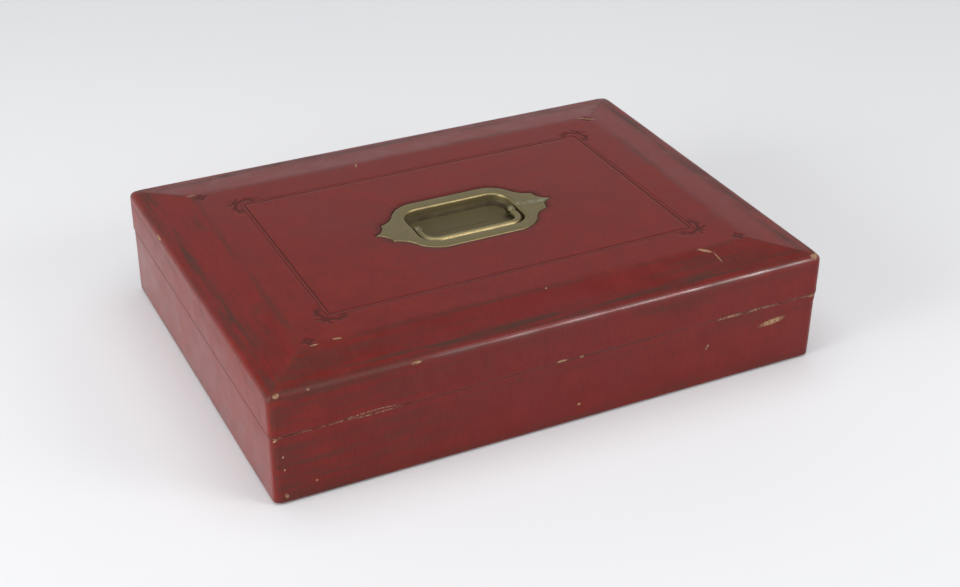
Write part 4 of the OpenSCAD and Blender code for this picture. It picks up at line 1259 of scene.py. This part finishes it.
def red_leather():
    """Straight-grained crimson goatskin: dirty in the hollows, rubbed to tan at the edges, with shade painted
    into the closing line, the cracks, round the plate and towards the back +X end.
    """
    f = Finish("red_leather")
    broad = f.noise(85, 3, 0.55)
    middling = f.noise(17, 4, 0.6, 0.4)
    speck = f.noise(2.2, 4, 0.7)
    fine = f.noise(0.8, 2, 0.6)
    grain = f.noise((0.55, 8, 8), 3, 0.5, 0.2)
    pebble = f.pebbles((0.8, 1.2, 1.2))
    edge, worn, polish = f.attribute("edge"), f.attribute("worn"), f.attribute("polish")
    dirt_and_shade, tooled_and_shaded = f.attribute("dirt_and_shade"), f.attribute("tooled_and_shaded")

    deep, bright, purple = (0.142, 0.0085, 0.0050), (0.182, 0.0125, 0.0075), (0.152, 0.0130, 0.0110)
    colour = f.mix(f.step(middling, 0.25, 0.8), deep, bright)
    colour = f.mix(f.step(broad, 0.42, 0.7), colour, purple)
    colour = f.mix(f.step(grain, 0.50, 0.36, 0, 0.34), colour, (0.06, 0.008, 0.007))
    sideways = f.attribute("sideways")
    long_way, short_way = f.noise((52, 4.5, 4.5), 4, 0.62, 0.15), f.noise((4.5, 52, 4.5), 4, 0.62, 0.15)
    streak = f.add("Mix", {0: sideways, 2: long_way, 3: short_way}).outputs[0]
    grime_and_shade = f.times(dirt_and_shade, f.step(streak, 0.38, 0.6))
    grime_and_shade = f.times(grime_and_shade, f.step(middling, 0.25, 0.55, 0.5, 1.0))
    stained = f.times(patches(f, STAINS, middling, 0.7), f.step(streak, 0.34, 0.62))
    grime_and_shade = f.most(grime_and_shade, f.times(stained, 0.5))
    grime_and_shade = f.most(grime_and_shade, f.step(f.noise(7, 4, 0.7, 0.6), 0.7, 0.82, 0, 0.4))
    # the dirt colour also paints the shade stored with the dirt, darker towards the back +X end
    colour = f.mix(f.times(grime_and_shade, 0.85), colour, (0.046, 0.021, 0.014))
    # blind tooling pressed dark, together with painted shade at the closing line, in the strip's cracks and
    # round the brass plate
    colour = f.mix(f.times(tooled_and_shaded, 0.88), colour, (0.022, 0.007, 0.005))
    thin = f.times(edge, f.step(speck, 0.4, 0.66))
    colour = f.mix(f.times(thin, 0.25), colour, (0.16, 0.035, 0.02))
    crumb = f.noise(1.1, 4, 0.75, 0.3)
    bare = patches(f, RUBBED, crumb, 0.2)
    chips = f.times(f.plus(worn, f.times(edge, 0.28)), f.step(speck, 0.5, 0.72))
    bare = f.most(bare, f.step(chips, 0.38, 0.6))
    split = f.times(f.attribute("raw"), f.step(speck, 0.28, 0.6, 0.35, 1.0))
    bare = f.most(bare, f.step(split, 0.3, 0.65))
    bare = f.times(bare, f.step(fine, 0.3, 0.5, 0.15, 1.0))
    tan = f.mix(f.step(crumb, 0.38, 0.6), (0.15, 0.06, 0.03), (0.46, 0.29, 0.16))
    colour = f.mix(bare, colour, tan)

    gloss = f.step(middling, 0.25, 0.75, 0.32, 0.42)
    gloss = f.plus(gloss, f.times(grime_and_shade, 0.1))
    gloss = f.plus(gloss, f.times(bare, 0.35))
    gloss = f.plus(gloss, f.times(tooled_and_shaded, 0.3))
    gloss = f.minus(gloss, f.times(polish, 0.26))
    normal = f.bump(pebble, 0.14, 0.10)
    normal = f.bump(grain, 0.45, 0.13, normal)
    normal = f.bump(f.times(bare, -1.0), 0.5, 0.12, normal)
    f.set(Base_Color=colour, Roughness=gloss, Normal=normal, IOR=1.45)
    f.set(Specular_IOR_Level=f.plus(f.times(polish, 1.9), 0.27))
    f.set(Sheen_Weight=0.22, Sheen_Roughness=0.24, Sheen_Tint=(1.0, 0.9, 0.87, 1))
    return f


def worn_brass(name, tone=1.0, polish=0.0):
    """Old cast brass: tarnished brown in the hollows, with painted shade there too, rubbed on the high
    places, with fine scratches.
    """
    f = Finish(name)
    cloudy = f.noise(8, 5, 0.65, 0.5)
    spots = f.noise(1.4, 3, 0.6)
    scratch = f.noise((12, 0.35, 0.35), 2, 0.5, 0.1)
    hollow = f.attribute("hollow")
    clean = (0.315 * tone, 0.262 * tone, 0.128 * tone)
    dull = (0.265 * tone, 0.22 * tone, 0.116 * tone)
    colour = f.mix(f.step(cloudy, 0.3, 0.7), dull, clean)
    colour = f.mix(f.step(spots, 0.62, 0.78, 0, 0.4), colour, (0.09, 0.07, 0.035))
    # painted shade and tarnish: the hollows go very dark brown
    murk = f.times(hollow, f.step(cloudy, 0.15, 0.7, 0.72, 1.0))
    colour = f.mix(murk, colour, (0.036, 0.026, 0.009))
    glint = f.times(hollow, f.step(f.noise(0.9, 2, 0.7), 0.66, 0.74))
    colour = f.mix(glint, colour, clean)
    green = f.times(f.attribute("verdigris"), f.step(spots, 0.4, 0.62))
    colour = f.mix(green, colour, (0.27, 0.34, 0.26))
    crust = f.most(f.times(green, 0.9), f.times(murk, 0.45))
    metal = f.minus(1.0, crust)
    rough = f.step(cloudy, 0.2, 0.8, 0.52 - polish, 0.38 - polish * 0.6)
    rough = f.plus(rough, f.times(murk, 0.25))
    normal = f.bump(spots, 0.25, 0.05)
    normal = f.bump(scratch, 0.12, 0.03, normal)
    f.set(Base_Color=colour, Roughness=rough, Normal=normal, Metallic=metal)
    return f


def velvet(name, colour):
    """Short silk velvet: soft light at its edges, brushed and crushed in patches."""
    f = Finish(name)
    crushed = f.noise(14, 4, 0.6, 0.8)
    nap = f.noise(0.6, 2, 0.7)
    light = tuple(min(c * 1.9 + 0.004, 1) for c in colour)
    dark = tuple(c * 0.55 for c in colour)
    shade = f.mix(f.step(crushed, 0.35, 0.68), colour, light)
    shade = f.mix(f.step(nap, 0.5, 0.3, 0, 0.6), shade, dark)
    normal = f.bump(nap, 0.6, 0.25)
    normal = f.bump(crushed, 0.3, 0.8, normal)
    f.set(Base_Color=shade, Roughness=f.step(crushed, 0.2, 0.8, 0.95, 0.8), Normal=normal)
    f.set(Sheen_Weight=0.85, Sheen_Roughness=0.35, Sheen_Tint=(*light, 1))
    f.set(Specular_IOR_Level=0.15)
    return f


def silk():
    """Ribbed silk, yellowed a little with age."""
    f = Finish("cream_silk")
    slub = f.noise((14, 0.5, 6), 3, 0.6)
    thread = f.noise((0.45, 3.5, 3.5), 2, 0.5)
    stain = f.noise(60, 4, 0.6)
    colour = f.mix(f.step(stain, 0.35, 0.75), (0.66, 0.53, 0.36), (0.55, 0.40, 0.24))
    colour = f.mix(f.step(slub, 0.55, 0.3, 0, 0.35), colour, (0.42, 0.31, 0.19))
    normal = f.bump(thread, 0.35, 0.1)
    normal = f.bump(slub, 0.3, 0.12, normal)
    f.set(Base_Color=colour, Roughness=f.step(slub, 0.2, 0.8, 0.36, 0.52), Normal=normal)
    f.set(Sheen_Weight=0.3, Sheen_Roughness=0.3, Anisotropic=0.4)
    return f


def case_wood():
    """Straight-grained cedar-coloured softwood, sealed."""
    f = Finish("case_wood")
    rings_at = f.noise((60, 3.2, 3.2), 4, 0.6, 0.6)
    pores = f.noise((16, 0.5, 0.5), 2, 0.6)
    colour = f.mix(f.step(rings_at, 0.35, 0.65), (0.20, 0.092, 0.04), (0.34, 0.18, 0.085))
    colour = f.mix(f.step(pores, 0.62, 0.75, 0, 0.5), colour, (0.09, 0.04, 0.018))
    normal = f.bump(pores, 0.3, 0.08)
    f.set(Base_Color=colour, Roughness=f.step(rings_at, 0.3, 0.7, 0.45, 0.6), Normal=normal)
    return f


def underside():
    """Thin dark skiver, scuffed where it has slid about."""
    f = Finish("underside_cover")
    pebble = f.pebbles(1.1)
    cloud = f.noise(40, 4, 0.6, 0.3)
    scuff = f.noise((30, 2.2, 2.2), 4, 0.7, 1.2)
    colour = f.mix(f.step(cloud, 0.3, 0.7), (0.045, 0.012, 0.011), (0.085, 0.022, 0.018))
    colour = f.mix(f.step(scuff, 0.62, 0.75, 0, 0.6), colour, (0.19, 0.10, 0.06))
    normal = f.bump(pebble, 0.4, 0.2)
    f.set(Base_Color=colour, Roughness=f.step(cloud, 0.2, 0.8, 0.55, 0.72), Normal=normal)
    return f


# ------------------------------------------------------------------ stage
def stage():
    """A pale sweep, broad soft light and the camera at the photograph's angle."""
    half = 3200
    floor = new_object("floor", [(x, y, 0) for x in (-half, half) for y in (-half, half)], [(0, 2, 3, 1)])
    f = Finish("floor_paper")
    cloud = f.noise(400, 2, 0.5)
    f.set(Base_Color=f.mix(cloud, (0.80, 0.805, 0.825), (0.84, 0.84, 0.85)), Roughness=0.7)
    f.paint(floor)
    studio_air()
    light("overhead", (0.05, 0.15, 2.1), (0, 0, 0), 2.8, 31)
    glint = light("glint", (-0.75, 0.95, 1.1), (0, 0.05, 0), 0.46, 5.4)
    glint.visible_diffuse = False           # it only glosses, for the shine on the polished back edge
    glint.data.color = (1.0, 0.82, 0.79)
    light("key", (-1.0, 1.15, 0.8), (0, 0.1, 0), 0.75, 8)
    light("side", (1.7, 0.25, 0.5), (0.1, 0, 0.03), 1.1, 24)
    scene.view_settings.view_transform = "Standard"
    camera()


def studio_air():
    """Soft light all round: bright low down, dimmer overhead."""
    world = bpy.data.worlds.new("studio")
    world.use_nodes = True
    tree = world.node_tree
    where = tree.nodes.new("ShaderNodeTexCoord")
    split = tree.nodes.new("ShaderNodeSeparateXYZ")
    ramp = tree.nodes.new("ShaderNodeValToRGB")
    tree.links.new(where.outputs["Generated"], split.inputs[0])
    tree.links.new(split.outputs["Z"], ramp.inputs[0])
    ramp.color_ramp.interpolation = "EASE"
    low, high = ramp.color_ramp.elements
    low.position, low.color = 0.0, (0.80, 0.81, 0.83, 1)
    high.position, high.color = 0.8, (0.10, 0.102, 0.108, 1)
    for position, grey in ((0.27, 0.74), (0.5, 0.42), (0.68, 0.16)):
        ramp.color_ramp.elements.new(position).color = (grey, grey * 1.01, grey * 1.03, 1)
    background = tree.nodes["Background"]
    tree.links.new(ramp.outputs[0], background.inputs["Color"])
    background.inputs["Strength"].default_value = 1.0
    scene.world = world


def light(name, place, target, size, power):
    lamp = bpy.data.lights.new(name, "AREA")
    lamp.shape, lamp.size, lamp.energy = "DISK", size, power
    obj = linked(name, lamp)
    obj.location = place
    obj.rotation_euler = (Vector(target) - Vector(place)).to_track_quat("-Z", "Y").to_euler()
    return obj


CAMERA_PLACE = (0.3608, 0.7421, 0.5094)         # in metres, from a fit to the closed case's edges
CAMERA_FORWARD = (-0.38456, -0.76857, -0.51128)
CAMERA_UP = (-0.21945, -0.46187, 0.85937)
CAMERA_LENS = 60.43                             # on a sensor 36 mm wide


def camera():
    forward = Vector(CAMERA_FORWARD).normalized()
    right = forward.cross(Vector(CAMERA_UP).normalized()).normalized()
    up = right.cross(forward)
    data = bpy.data.cameras.new("camera")
    data.sensor_width = 36
    data.lens = CAMERA_LENS
    data.clip_start, data.clip_end = 0.01, 50
    obj = linked("camera", data)
    turn = Matrix((right, up, -forward)).transposed().to_4x4()
    obj.matrix_world = Matrix.Translation(CAMERA_PLACE) @ turn
    scene.camera = obj


# ------------------------------------------------------------------ the case, put together
stage()
leather = red_leather()

lid_skin = lid_shell()
mark_shell(lid_skin, LID_X, LID_Y, True)
dress(leather, lid_skin, "lid", "red_leather", "lid_leather")

base_skin = base_shell()
mark_shell(base_skin, BASE_X, BASE_Y, False)
dress(leather, base_skin, "base", "red_leather", "base_leather")

strip = spine_strip()
mark_strip(strip)
dress(leather, strip, None, "red_leather", "spine_leather")
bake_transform(strip)

brass = worn_brass("worn_brass")
dress(brass, plate_piece(), "lid", "worn_brass", "handle_plate")
dress(worn_brass("rubbed_brass", 1.1, 0.02), bail_piece(), "bail", "worn_brass", "handle_bail")

plush = velvet("plush", (0.085, 0.006, 0.015))
cream = silk()
dress(plush, lining("base_lining", True), "base", "velvet", "base_lining")
dress(plush, lining("lid_lining", False), "lid", "velvet", "lid_lining")

WELL_WALLS = ["well_long_divider", "well_cross_dividers", "tray_rests"]
TRAY_WALLS = ["tray_frame", "tray_bottom", "tray_long_divider", "tray_ring_dividers", "tray_cross_dividers"]
dress(plush, covered("well_dividers_velvet", WELL_WALLS), "base", "velvet", *WELL_WALLS)
dress(plush, covered("tray_velvet", TRAY_WALLS), "tray", "velvet", *TRAY_WALLS)

FLOOR_PADS = {          # the cell of each pad's grid
    "floor_pad": 5.5, "tray_pad_front": 5.0, "tray_pad_left_front": 4.5, "tray_pad_left_back": 4.5,
    "tray_pad_right_front": 4.5, "tray_pad_right_back": 4.5, "tray_pad_centre": 4.2}
cushions = {}
for number, (node, cell) in enumerate(FLOOR_PADS.items()):
    cushions[node] = floor_cushion(node, cell, 0.5 if node == "floor_pad" else 1.3, 30 + number)
for number in range(1, 7):
    cushions["ring_roll_%d" % number] = ring_roll("ring_roll_%d" % number, number)
panel = silk_panel()
swell()
for node, piece in cushions.items():
    smoother(piece)
    dress(plush, piece, "base" if node == "floor_pad" else "tray", "velvet", node)
smoother(panel)
dress(cream, panel, "lid", "silk", "lid_pad")
dress(cream, silk_buttons(), "lid", "silk")

for node in ("tray_tab_left", "tray_tab_right"):
    ribbon, flat_size = ribbon_tab(node)
    dress(cream, ribbon, "tray", "silk", node)

# CAD nodes that keep their own shape
hard = {"fitting_brass": worn_brass("fitting_brass", 1.35, 0.12), "case_wood": case_wood(),
        "worn_brass": brass}
for row in frame["record"]["subparts"]:
    finish = hard.get(row["material_slot"])
    if finish and row["node"] not in ("handle_plate", "handle_bail"):
        finish.paint(nodes[row["node"]])
# the pins get a darker copy of the brass: painted shade, as they sit in the pan's shade
worn_brass("shaded_pin_brass", 0.4).paint(nodes["bail_pins"])
underside().paint(nodes["underside_cover"])
